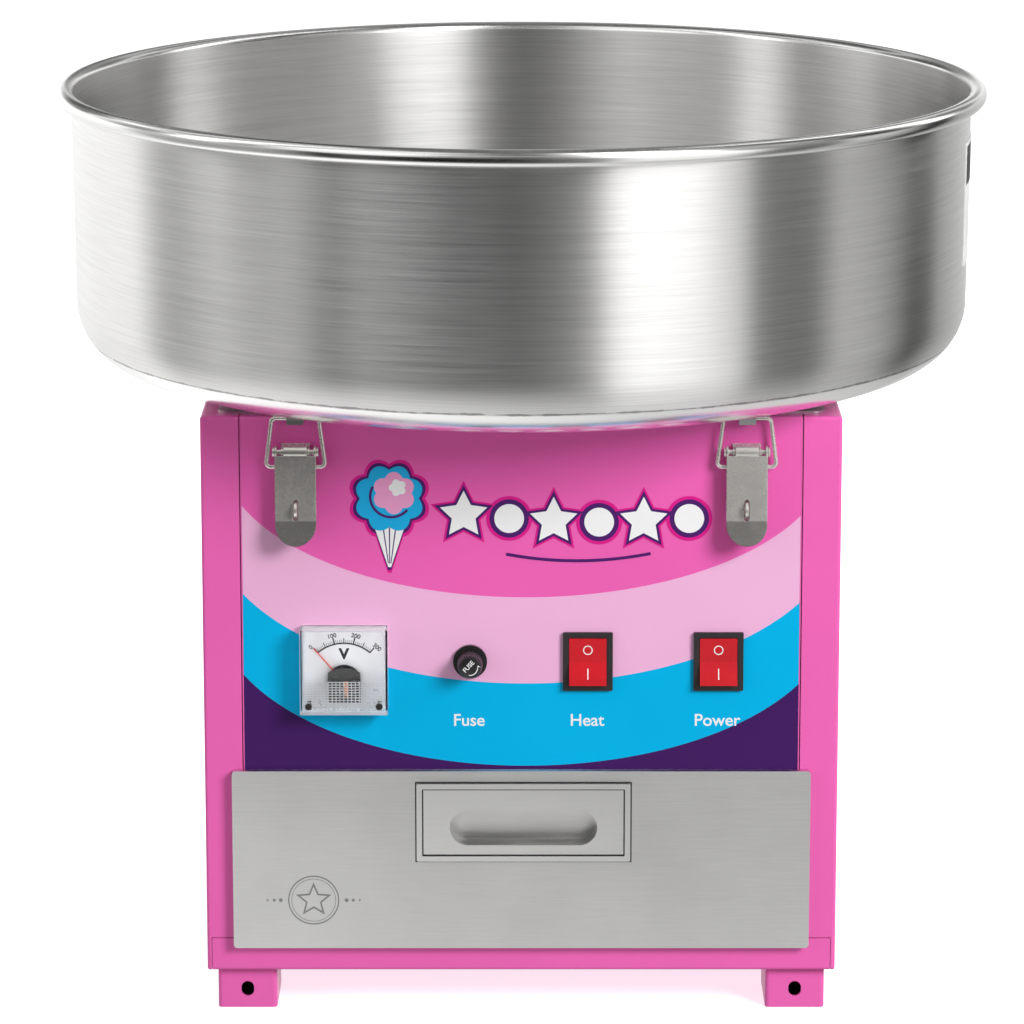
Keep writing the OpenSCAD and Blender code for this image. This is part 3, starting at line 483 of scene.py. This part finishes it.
def bowl_profile():
    """The bowl's section: inside surface outwards from the collar, over the rim, and back underneath."""
    low_r = WALL_R - 1
    bend_x, bend_z = low_r - BEND, BOWL_Z + BEND
    well = bowl_low.z
    bead_r = (RIM_R - (WALL_R - STEEL)) / 2
    bead_x, bead_z = RIM_R - bead_r, RIM_Z - bead_r
    inside = [(37.2, well + 18), (37.2, well + STEEL + 2), (38.4, well + STEEL)]
    inside += [(60, well + STEEL), (95, well + STEEL), (119, well + STEEL), (121.5, well + STEEL + 0.6)]
    inside += [(128, BOWL_Z + STEEL - 1), (131, BOWL_Z + STEEL), (160, BOWL_Z + STEEL), (200, BOWL_Z + STEEL)]
    inside += circle(bend_x, bend_z, BEND - STEEL, 20, -90, 0)
    wall = [(low_r - STEEL + t, bend_z + t * (bead_z - bend_z)) for t in (0.15, 0.3, 0.45, 0.6, 0.75, 0.9)]
    bead = circle(bead_x, bead_z, bead_r, 36, 180, -128)
    outside = [(low_r + t, bend_z + t * (bead_z - bend_z)) for t in (0.965, 0.9, 0.75, 0.6, 0.45, 0.3, 0.15)]
    under = circle(bend_x, bend_z, BEND, 20, 0, -90)
    under += [(200, BOWL_Z), (160, BOWL_Z), (131.6, BOWL_Z), (129, BOWL_Z - 1), (122.5, well + 0.6)]
    under += [(120, well), (95, well), (60, well), (37, well), (36, well + 1), (36, well + 18)]
    return inside + wall + bead + outside + under


bowl_mesh = lathe(bowl_profile(), 320)
bowl_mesh.transform(Matrix.Scale(MM, 4))
smooth(bowl_mesh, 50)
bowl = place_piece("bowl_spun", bowl_mesh, bowl_steel, "cabinet")
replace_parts(bowl, "bowl")

# The bead and the underside, up to a little way round the bend, are smoother than the brushed wall
bowl_mesh.materials.append(bowl_polish)
for polygon in bowl_mesh.polygons:
    z = polygon.center.z / MM
    r = math.hypot(polygon.center.x, polygon.center.y) / MM
    under = z < BOWL_Z + 14.5 and r > 128 and polygon.normal.z < -0.3
    bead = z > RIM_Z - 9.9 and r > WALL_R - 1.1
    polygon.material_index = 1 if under or bead else 0


# ---------- printed film with its four bands ----------

film_low, film_high = (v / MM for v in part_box("panel_overlay"))
FACE_Y = film_low.y                              # the front face of the cabinet
FILM_X = film_high.x
FILM_T = 0.25
# half the width, the height and the lowest point of the ellipse that each band's lower edge follows
BANDS = ((164.0, 79.5, 235.1), (170.0, 89.0, 186.9), (167.0, 85.8, 140.5))
BAND_X = 2.5


def band_edge(half, rise, z, steps=96):
    """Points from left to right along a band's edge."""
    points = []
    for i in range(steps + 1):
        x = -FILM_X + 2 * FILM_X * i / steps
        points.append((x, z + rise * (1 - math.sqrt(1 - ((x - BAND_X) / half) ** 2))))
    return points


def film_band(name, upper, lower, mat):
    """The film between two edges, with its front at FACE_Y."""
    where = Matrix.Translation((0, FACE_Y + FILM_T / 2, 0)) @ FRONT
    mesh = from_curve(drawing([upper + lower[::-1]], FILM_T), where)
    return place_piece(name, mesh, mat, "cabinet")


edges = [band_edge(*band) for band in BANDS]
top_edge = [(-FILM_X, film_high.z), (FILM_X, film_high.z)]
low_edge = [(-FILM_X, film_low.z), (FILM_X, film_low.z)]
film = film_band("film_magenta", top_edge, edges[0], film_magenta)
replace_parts(film, "panel_overlay")
film_band("film_rose", edges[0], edges[1], film_rose)
film_band("film_cyan", edges[1], edges[2], film_cyan)
film_band("film_purple", edges[2], low_edge, film_purple)

for words, x in (("Fuse", -28.4), ("Heat", 35.7), ("Power", 106.4)):
    where = Matrix.Translation((x, FACE_Y - 0.03, 166.0)) @ FRONT
    lettering("label_" + words.lower(), words, 9.5, where, ink_white, "cabinet", 0.05, 0.1)


# ---------- generic picture on the film ----------

def grown(loop, by):
    """The loop moved outwards by a distance, for outlines round star and puff shapes."""
    cx = sum(p[0] for p in loop) / len(loop)
    cz = sum(p[1] for p in loop) / len(loop)
    moved = []
    for x, z in loop:
        far = math.hypot(x - cx, z - cz)
        moved.append((cx + (x - cx) * (far + by) / far, cz + (z - cz) * (far + by) / far))
    return moved


def puff(x, z, r, lobes, depth):
    """Cloud outline with round lobes."""
    points = []
    for i in range(lobes * 14):
        a = 2 * math.pi * i / (lobes * 14)
        points.append((x + (r + depth * abs(math.sin(lobes * a / 2))) * math.cos(a),
                       z + (r + depth * abs(math.sin(lobes * a / 2))) * math.sin(a)))
    return points


def cone_shape(x, top, half, length):
    return [(x - half, top), (x + half, top), (x + 0.8, top - length), (x - 0.8, top - length)]


layer = [0]


def printed(name, loop, mat):
    """Each printed shape lies on the ones before it."""
    layer[0] += 1
    decal("print_" + name, [loop], FACE_Y - 0.01 * layer[0], mat, thick=0.04)


CONE_X, CONE_Z = -71.0, 290.0
printed("cone_edge", grown(cone_shape(CONE_X, CONE_Z - 10, 10, 28), 3.2), ink_magenta)
printed("puff_edge", puff(CONE_X, CONE_Z, 19.2, 8, 3.4), ink_magenta)
printed("cone_line", grown(cone_shape(CONE_X, CONE_Z - 10, 10, 28), 1.6), ink_purple)
printed("puff_line", puff(CONE_X, CONE_Z, 17.4, 8, 3.3), ink_purple)
printed("cone", cone_shape(CONE_X, CONE_Z - 10, 10, 28), ink_white)
for i, x in enumerate((-3.4, 0.0, 3.4)):
    top, tip = CONE_X + x, CONE_X + x * 0.2
    rib = [(top - 0.35, 274), (top + 0.35, 274), (tip + 0.25, 254), (tip - 0.25, 254)]
    printed(f"cone_rib_{i}", rib, ink_purple)
printed("puff", puff(CONE_X, CONE_Z, 15.8, 8, 3.0), ink_cyan)
printed("puff_light", puff(CONE_X + 2.5, CONE_Z + 3.0, 9.5, 6, 2.2), ink_pink)
printed("puff_curl", arc_band(CONE_X + 1.0, CONE_Z + 1.0, 10.6, 12.0, 150, 320), ink_purple)
printed("puff_glint", puff(CONE_X + 4.5, CONE_Z + 6.0, 3.6, 5, 1.2), ink_white)

# a garland of plain stars and dots on a shallow curve
GARLAND = [(-31.0, 281.0, "star", 13.4), (-6.5, 279.0, "dot", 8.0), (17.5, 277.6, "star", 13.4),
           (42.0, 277.0, "dot", 8.0), (66.0, 277.6, "star", 13.4), (90.5, 279.0, "dot", 8.0)]
for rim, mat in ((4.4, ink_magenta), (2.6, ink_purple), (0.0, ink_white)):
    for i, (x, z, kind, r) in enumerate(GARLAND):
        shape = star(x, z, r + rim * 1.25, 0.5) if kind == "star" else circle(x, z, r + rim)
        printed(f"garland_{i}_{mat.name.split()[1]}", shape, mat)
printed("underline", arc_band(30, 455, 198.6, 200.2, 259, 281.5), ink_purple)


# ---------- dark band on the blank label ----------

label_low, label_high = (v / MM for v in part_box("bowl_label"))


def label_band(z0, z1, margin, thick=0.05):
    """Curved strip on the label's upper part."""
    mesh, bm = bpy.data.meshes.new("band"), bmesh.new()
    rows = []
    for i in range(25):
        y = label_low.y + margin + (label_high.y - label_low.y - 2 * margin) * i / 24
        row = []
        for z, lift in ((z0, 0), (z1, 0), (z1, thick), (z0, thick)):
            r = WALL_R - 1 + (z - BOWL_Z - BEND) / WALL_H + 0.36 + lift
            row.append(bm.verts.new((math.sqrt(r * r - y * y), y, z)))
        rows.append(row)
    for here, there in zip(rows, rows[1:]):
        for k in range(4):
            bm.faces.new((here[k], there[k], there[(k + 1) % 4], here[(k + 1) % 4]))
    bm.faces.new(rows[0])
    bm.faces.new(rows[-1])
    bmesh.ops.recalc_face_normals(bm, faces=bm.faces)
    bm.to_mesh(mesh)
    bm.free()
    mesh.transform(Matrix.Scale(MM, 4))
    return mesh


band_mesh = label_band(label_high.z - 24, label_high.z - 2.5, 2.5)
place_piece("label_band", band_mesh, black_ink_and_painted_shadow, "cabinet")


# ---------- voltmeter ----------

cover_low, cover_high = (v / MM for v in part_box("meter_cover"))
METER_X = (cover_low.x + cover_high.x) / 2
METER_Z = (cover_low.z + cover_high.z) / 2
DIAL_Y = (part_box("meter_dial")[0] / MM).y        # the card's front face
PIVOT_Z = METER_Z - 6.9
NEEDLE_ZERO = 41.0


def on_dial(angle, radius):
    """A point of the dial, angle in degrees clockwise from upright."""
    a = math.radians(angle)
    return METER_X + radius * math.sin(a), PIVOT_Z + radius * math.cos(a)


def tick(angle, r0, r1, width):
    a = math.radians(angle)
    side = (math.cos(a) * width / 2, -math.sin(a) * width / 2)
    (x0, z0), (x1, z1) = on_dial(angle, r0), on_dial(angle, r1)
    return [(x0 - side[0], z0 - side[1]), (x0 + side[0], z0 + side[1]),
            (x1 + side[0], z1 + side[1]), (x1 - side[0], z1 - side[1])]


scale_arc = arc_band(METER_X, PIVOT_Z, 21.0, 21.8, 90 - NEEDLE_ZERO, 90 + NEEDLE_ZERO)
decal("dial_arc", [scale_arc], DIAL_Y, black_ink_and_painted_shadow)
for i in range(31):
    angle = -NEEDLE_ZERO + 2 * NEEDLE_ZERO * i / 30
    length, width = (3.0, 0.5) if i % 5 == 0 else (2.1, 0.28)
    if i % 10 == 0:
        length, width = 3.7, 0.75
    mark = tick(angle, 21.3, 21.3 + length, width)
    decal(f"dial_tick_{i:02d}", [mark], DIAL_Y - 0.01, black_ink_and_painted_shadow)
for i, words in enumerate(("0", "100", "200", "300")):
    angle = -NEEDLE_ZERO + 2 * NEEDLE_ZERO * i / 3
    x, z = on_dial(angle * 1.05, 26.2)
    where = Matrix.Translation((x, DIAL_Y - 0.03, z)) @ FRONT @ Matrix.Rotation(math.radians(-angle), 4, "Z")
    lettering("dial_number_" + words, words, 3.4, where, black_ink_and_painted_shadow, "cabinet", 0.05, 0.08)
where = Matrix.Translation((METER_X, DIAL_Y - 0.03, PIVOT_Z + 15.2)) @ FRONT
lettering("dial_unit", "V", 8.2, where, black_ink_and_painted_shadow, "cabinet", 0.05, 0.35)


def ridges(spans, y, depth):
    """Triangular ribs on the plane at y, each along its longer side, pointing into the meter."""
    mesh, bm = bpy.data.meshes.new("ridges"), bmesh.new()
    for x0, x1, z0, z1 in spans:
        flat = [bm.verts.new((x, y, z)) for x, z in ((x0, z0), (x1, z0), (x1, z1), (x0, z1))]
        if x1 - x0 > z1 - z0:
            crest = [bm.verts.new((x, y + depth, (z0 + z1) / 2)) for x in (x0, x1)]
            sides = [(0, 1, "b", "a"), (2, 3, "a", "b")]
            ends = [(0, 3, "a"), (1, 2, "b")]
        else:
            crest = [bm.verts.new(((x0 + x1) / 2, y + depth, z)) for z in (z0, z1)]
            sides = [(3, 0, "a", "b"), (1, 2, "b", "a")]
            ends = [(0, 1, "a"), (2, 3, "b")]
        point = {"a": crest[0], "b": crest[1]}
        bm.faces.new(flat)
        for i, j, c, d in sides:
            bm.faces.new((flat[i], flat[j], point[c], point[d]))
        for i, j, c in ends:
            bm.faces.new((flat[i], flat[j], point[c]))
    bmesh.ops.recalc_face_normals(bm, faces=bm.faces)
    bm.to_mesh(mesh)
    bm.free()
    mesh.transform(Matrix.Scale(MM, 4))
    return mesh


# Moulded grid on the inside of the cover, in front of the movement
rows = [METER_Z - 21.8 + 1.44 * i for i in range(12)]
columns = [METER_X - 21 + 2.1 * i for i in range(21)]
across = [(METER_X - 21.3, METER_X + 21.3, z, z + 0.55) for z in rows]
upward = [(x - 0.25, x + 0.25, rows[0], rows[-1] + 0.55) for x in columns if abs(abs(x - METER_X) - 19.1) > 2]
for name, spans, depth in (("meter_grid_rows", across, 1.25), ("meter_grid_columns", upward, 1.65)):
    place_piece(name, ridges(spans, cover_low.y + depth, 0.35), prism_clear, "cabinet")


def arch(half, shoulder, rise, low, steps=24):
    """Outline of a flat-sided arch whose top is part of a circle."""
    r = (half * half + rise * rise) / (2 * rise)
    span = math.degrees(math.asin(half / r))
    top = circle(0, shoulder + rise - r, r, steps, 90 - span, 90 + span)
    return [(half, low)] + top + [(-half, low)]


def movement_piece(name, outline, thick, x, y, z, mat):
    """A flat piece of the meter's movement, x and z from the needle's pivot and y in front of the dial."""
    where = Matrix.Translation((METER_X + x, DIAL_Y - y, PIVOT_Z + z)) @ FRONT
    place_piece(name, from_curve(drawing([outline], thick), where), mat, "cabinet")


# Shield over the needle's hub, with its leg standing on the dial, and the coil seen in front of it
SHIELD, SHIELD_LOW = 8.7, -11.2                  # half the shield's width and its lower edge
leg = [(-SHIELD, SHIELD_LOW), (SHIELD, SHIELD_LOW), (SHIELD, SHIELD_LOW + 1.4), (-SHIELD, SHIELD_LOW + 1.4)]
movement_piece("meter_shield", arch(SHIELD, 5.6, 2.6, SHIELD_LOW), 0.5, 0, 2.75, 0, movement_black)
movement_piece("meter_shield_leg", leg, 2.5, 0, 1.35, 0, movement_black)
movement_piece("meter_coil", arch(1.3, 3.2, 1.0, -4.2), 0.5, 1.2, 3.2, -3.2, copper)


# ---------- fuse cap ----------

cap_low, cap_high = (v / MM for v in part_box("fuse_cap"))
CAP_X, CAP_Z = (cap_low.x + cap_high.x) / 2, (cap_low.z + cap_high.z) / 2
CAP_Y = cap_low.y                                # its front face


def cap_profile():
    """Section of the cap, height measured from its front face inwards."""
    return [(0.01, 0), (4.6, 0), (5.6, 0.3), (6.2, 0.9), (6.5, 1.8), (6.7, 3.5), (6.9, 6.0), (7.1, 8.2),
            (7.1, 9.6), (6.6, 10.4), (4.3, 10.4), (4.3, 19.4), (3.2, 19.4), (3.2, 8.4), (0.01, 8.4)]


def knurl(angle, index):
    """Depth of the 36 grooves along the cap's side."""
    return -0.28 * (0.5 - 0.5 * math.cos(36 * angle)) if 3 <= index <= 8 else 0.0


cap_mesh = lathe(cap_profile(), 288, knurl)
inwards = Matrix.Translation((CAP_X, CAP_Y, CAP_Z)) @ Matrix.Rotation(math.radians(-90), 4, "X")
cap_mesh.transform(Matrix.Scale(MM, 4) @ inwards)
smooth(cap_mesh, 35)
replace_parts(place_piece("fuse_cap_knurled", cap_mesh, black_plastic, "fuse_cap"), "fuse_cap")
turned = Matrix.Rotation(math.radians(48), 4, "Z")
cap_face = Matrix.Translation((CAP_X, CAP_Y - 0.03, CAP_Z)) @ FRONT @ turned
lettering("fuse_mark", "FUSE", 3.5, cap_face @ Matrix.Translation((0, 0.9, 0)), ink_white,
          "fuse_cap", 0.05, 0.05)
arrow = [arc_band(0, 0, 3.95, 4.4, 215, 320), [(3.9, -2.2), (2.3, -3.6), (4.2, -4.2)]]
place_piece("fuse_arrow", from_curve(drawing(arrow, 0.05), cap_face), ink_white, "fuse_cap")


# ---------- rocker marks ----------

def rocker_marks(node, label):
    """A ring on the rocker's upper half and a bar on its lower half. Its body has the node's name."""
    low, high = (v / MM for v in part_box(node))
    middle_x = (low.x + high.x) / 2
    # the rockers are level with the fuse cap
    pivot = Matrix.Translation((middle_x, FACE_Y - 1.8, CAP_Z)) @ Matrix.Rotation(math.radians(-9), 4, "X")
    lean = math.atan2(2.1, 13.2)
    upper = pivot @ Matrix.Translation((0, -1.67, 6.5)) @ Matrix.Rotation(lean, 4, "X") @ FRONT
    lower = pivot @ Matrix.Translation((0, -1.67, -6.5)) @ Matrix.Rotation(-lean, 4, "X") @ FRONT
    ring = drawing([circle(0, 0, 2.6), circle(0, 0, 2.05)], 0.06)
    bar = drawing([[(-0.3, -3), (0.3, -3), (0.3, 3), (-0.3, 3)]], 0.06)
    place_piece(label + "_off_mark", from_curve(ring, upper), ink_white, node)
    place_piece(label + "_on_mark", from_curve(bar, lower), ink_white, node)


rocker_marks("heat_rocker", "heat")
rocker_marks("power_rocker", "power")


# ---------- etched mark on the drawer ----------

ETCH_Y = (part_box("drawer_front")[0] / MM).y      # the drawer's front face
ETCH_X, ETCH_Z = -113.5, 65.5


def etched(name, loops):
    decal("etched_" + name, loops, ETCH_Y, ink_etch, "drawer")


def etched_ring(r0, r1):
    return [circle(ETCH_X, ETCH_Z, r1, 96), circle(ETCH_X, ETCH_Z, r0, 96)]


etched("ring", etched_ring(13.3, 14))
etched("ring_inner", etched_ring(11.9, 12.2))
etched("star", [star(ETCH_X, ETCH_Z, 10.2), star(ETCH_X, ETCH_Z, 7.8)])
for side, letter in ((-1, "l"), (1, "r")):
    for k in range(3):
        x = ETCH_X + side * (18 + 3.6 * k)
        etched(f"dot_{letter}{k}", [circle(x, ETCH_Z, 1.1 - 0.25 * k, 24)])


# ---------- painted shadow in the gaps round the drawer's pull ---

pull_low, pull_high = (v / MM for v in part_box("drawer_pull"))


def frame_loop(inset):
    """Rectangle inside the pull's outline by inset, or outside it where inset is negative."""
    x0, x1, z0, z1 = pull_low.x + inset, pull_high.x - inset, pull_low.z + inset, pull_high.z - inset
    return [(x0, z0), (x1, z0), (x1, z1), (x0, z1)]


# Black rings where the gaps round the pull's frame lie in shade: painted shadow
decal("pull_gap_painted_shadow_outer", [frame_loop(-0.75), frame_loop(-0.05)], ETCH_Y, black_ink_and_painted_shadow, "drawer")
decal("pull_gap_painted_shadow_inner", [frame_loop(3.02), frame_loop(3.75)], ETCH_Y - 0.6, black_ink_and_painted_shadow, "drawer")


# ---------- edges that catch the light ----------

soften(["drawer_pull"], 0.4)
soften(["heat_switch_frame", "power_switch_frame", "heat_rocker", "power_rocker"], 0.35)
soften(["drawer_front", "meter_cover"], 0.25)


# ---------- floor, lights, camera ----------

def floor_material():
    """White floor that glows a little, so that shadows on it stay pale."""
    mat, out = new_material("studio floor")
    place = stretched(mat, (1, 1, 1))
    return finish_material(
        mat, out,
        Base_Color=tint(mat, noise(mat, place, 3.0), (0.90, 0.90, 0.90), (0.93, 0.93, 0.93)),
        Roughness=between(mat, noise(mat, place, 20.0), 0.75, 0.85),
        Specular_IOR_Level=0.2,
        Emission_Color=(1, 1, 1, 1),
        Emission_Strength=0.68,
    )


def stage_piece(name, points, faces, mat):
    """A piece of the studio, not of the machine, with its points in metres."""
    mesh = bpy.data.meshes.new(name)
    mesh.from_pydata(points, [], faces)
    mesh.materials.append(mat)
    obj = bpy.data.objects.new(name, mesh)
    scene.collection.objects.link(obj)
    return obj


FLOOR = 20                                       # half the floor's width, in metres
corners = [(-FLOOR, -FLOOR, 0), (FLOOR, -FLOOR, 0), (FLOOR, FLOOR, 0), (-FLOOR, FLOOR, 0)]
floor = stage_piece("floor", corners, [(0, 1, 2, 3)], floor_material())
floor.visible_diffuse = floor.visible_glossy = False

# Cards that only polished metal sees, as (direction, brightness), with directions in degrees from the front
# and positive to the right. The low cards show in the bowl's outside, the high ones inside. Both rows follow
# the brightness measured round the photographed bowl's light and dark bands, rounded and adjusted.
LOW_CARDS = [
    (-180, 0.7), (-164, 0.35), (-158, 1.15), (-102, 1.2), (-97, 0.8), (-92, 0.48), (-54, 0.4), (-49, 0.22),
    (-44, 0.0), (-40, 0.0), (-36, 0.12), (-30, 0.06), (-24, 0.0), (-18, 0.0), (0, 0.03), (6, 0.1), (12, 0.16),
    (17, 0.22), (21, 0.95), (26, 1.2), (44, 1.2), (50, 0.95), (54, 0.22), (60, 0.15), (70, 0.15), (78, 0.66),
    (90, 0.5), (98, 0.28), (104, 0.0), (113, 0.0), (119, 0.4), (126, 0.5), (145, 0.7), (160, 1.0),
    (180, 0.7),
]
HIGH_CARDS = [
    (-180, 0.3), (-160, 0.05), (-146, 0.05), (-136, 0.2), (-127, 0.1), (-120, 1.1), (-112, 0.8), (-104, 0.3),
    (-87, 0.3), (-83, 1.9), (-73, 2.3), (-69, 0.3), (-61, 0.25), (-56, 0.8), (-50, 1.1), (-28, 1.1),
    (-22, 0.8), (-16, 0.3), (-9, 0.3), (-3, 0.1), (10, 0.15), (15, 0.4), (19, 2.6), (29, 3.2), (41, 2.8),
    (46, 0.3), (69, 0.35), (76, 0.2), (83, 0.0), (99, 0.1), (105, 1.0), (112, 2.2), (118, 2.2), (122, 0.2),
    (135, 0.1), (145, 1.0), (152, 0.1), (180, 0.3),
]


def brightness(cards, azimuth):
    """Brightness of a row of cards in one direction, between the two nearest that are given."""
    for (a0, b0), (a1, b1) in zip(cards, cards[1:]):
        if a0 <= azimuth <= a1:
            return b0 + (b1 - b0) * (azimuth - a0) / (a1 - a0)
    return 1.0


def reflector(radius, height):
    """A ring of cards round a bright table top, whose light only glossy surfaces see."""
    steps = 720
    # radius, height, shares of the low and the high cards' brightness, and a brightness all round
    levels = [(0.02, 0.0, 0.0, 0.0, 0.95), (0.55, 0.0, 0.0, 0.0, 0.95), (0.68, 0.0, 0.5, 0.0, 0.3),
              (0.80, 0.0, 0.8, 0.0, 0.1), (radius, 0.0, 0.8, 0.0, 0.0), (radius, 0.35, 0.95, 0.0, 0.0),
              (radius, 0.62, 1.3, 0.0, 0.0), (radius, 0.70, 0.0, 1.0, 0.0), (radius, 1.02, 0.0, 1.0, 0.0),
              (radius, 1.03, 0.0, 1.0, 0.5), (radius, 1.15, 0.0, 1.0, 0.5), (radius, 1.16, 0.0, 1.0, 0.0),
              (radius, height, 0.0, 1.0, 0.0)]
    points, faces, glow = [], [], []
    for i in range(steps):
        azimuth = -180 + 360 * i / steps
        a = math.radians(azimuth)
        low, high = brightness(LOW_CARDS, azimuth), brightness(HIGH_CARDS, azimuth)
        for r, z, low_share, high_share, even in levels:
            points.append((r * math.sin(a), -r * math.cos(a), z))
            side = 1 - 1.3 * max(-0.3, min(0.3, r * math.sin(a)))
            glow.append(low * low_share + high * high_share + even * side)
        here, there = i * len(levels), (i + 1) % steps * len(levels)
        faces += [(here + k, there + k, there + k + 1, here + k + 1) for k in range(len(levels) - 1)]
    mat, out = new_material("reflector")
    level = add(mat, "Attribute", attribute_name="glow").outputs["Fac"]
    card = add(mat, "Emission", {"Color": (1, 1, 1, 1), "Strength": level})
    mat.node_tree.links.new(card.outputs[0], out.inputs[0])
    mat.cycles.emission_sampling = "NONE"
    obj = stage_piece("reflector", points, faces, mat)
    obj.data.attributes.new("glow", "FLOAT", "POINT").data.foreach_set("value", glow)
    obj.visible_camera = obj.visible_diffuse = obj.visible_shadow = obj.visible_transmission = False


reflector(1.0, 3.0)

# A white backdrop for the camera, a dimmer even light on matt surfaces
AMBIENT, BACKDROP, GLOSSY = 0.36, 1.05, 0.15
world = bpy.data.worlds.new("studio")
scene.world = world
world.use_nodes = True
background = world.node_tree.nodes["Background"]
background.inputs["Color"].default_value = (1, 1, 1, 1)
path = add(world, "LightPath")
seen = math_node(world, "MULTIPLY", path.outputs["Is Camera Ray"], BACKDROP - AMBIENT)
shiny = math_node(world, "MULTIPLY", path.outputs["Is Glossy Ray"], GLOSSY - AMBIENT)
level = math_node(world, "ADD", math_node(world, "ADD", seen, shiny), AMBIENT)
world.node_tree.links.new(level, background.inputs["Strength"])


def softbox(name, azimuth, elevation, distance, size, power, aim=(0, 0, 0.25)):
    """An area light that points at the machine. azimuth is in degrees from the front, to the right."""
    light = bpy.data.lights.new(name, "AREA")
    light.shape, light.size, light.size_y, light.energy = "RECTANGLE", size[0], size[1], power
    obj = bpy.data.objects.new(name, light)
    a, e = math.radians(azimuth), math.radians(elevation)
    target = Vector(aim)
    way = Vector((math.sin(a) * math.cos(e), -math.cos(a) * math.cos(e), math.sin(e)))
    obj.location = target + distance * way
    obj.rotation_euler = (obj.location - target).to_track_quat("Z", "Y").to_euler()
    obj.visible_camera = False
    obj.visible_glossy = False
    scene.collection.objects.link(obj)


softbox("key", 42, 26, 2.3, (0.8, 0.8), 44)
softbox("fill", -60, 12, 2.6, (1.6, 1.6), 9)
softbox("top", 180, 66, 3.4, (3.0, 3.0), 70)
softbox("rear", 160, 20, 2.6, (1.4, 1.4), 24)

camera = bpy.data.cameras.new("camera")
camera.lens = 158.0
camera.sensor_width = 36.0
camera.shift_x = -0.009
camera.shift_y = -0.15
camera_obj = bpy.data.objects.new("camera", camera)
camera_obj.location = (0.0, -2.5, 0.8476)
camera_obj.rotation_euler = (math.radians(90 - 11.538), 0, 0)
scene.collection.objects.link(camera_obj)
scene.camera = camera_obj

scene.view_settings.view_transform = "Standard"
scene.view_settings.look = "None"
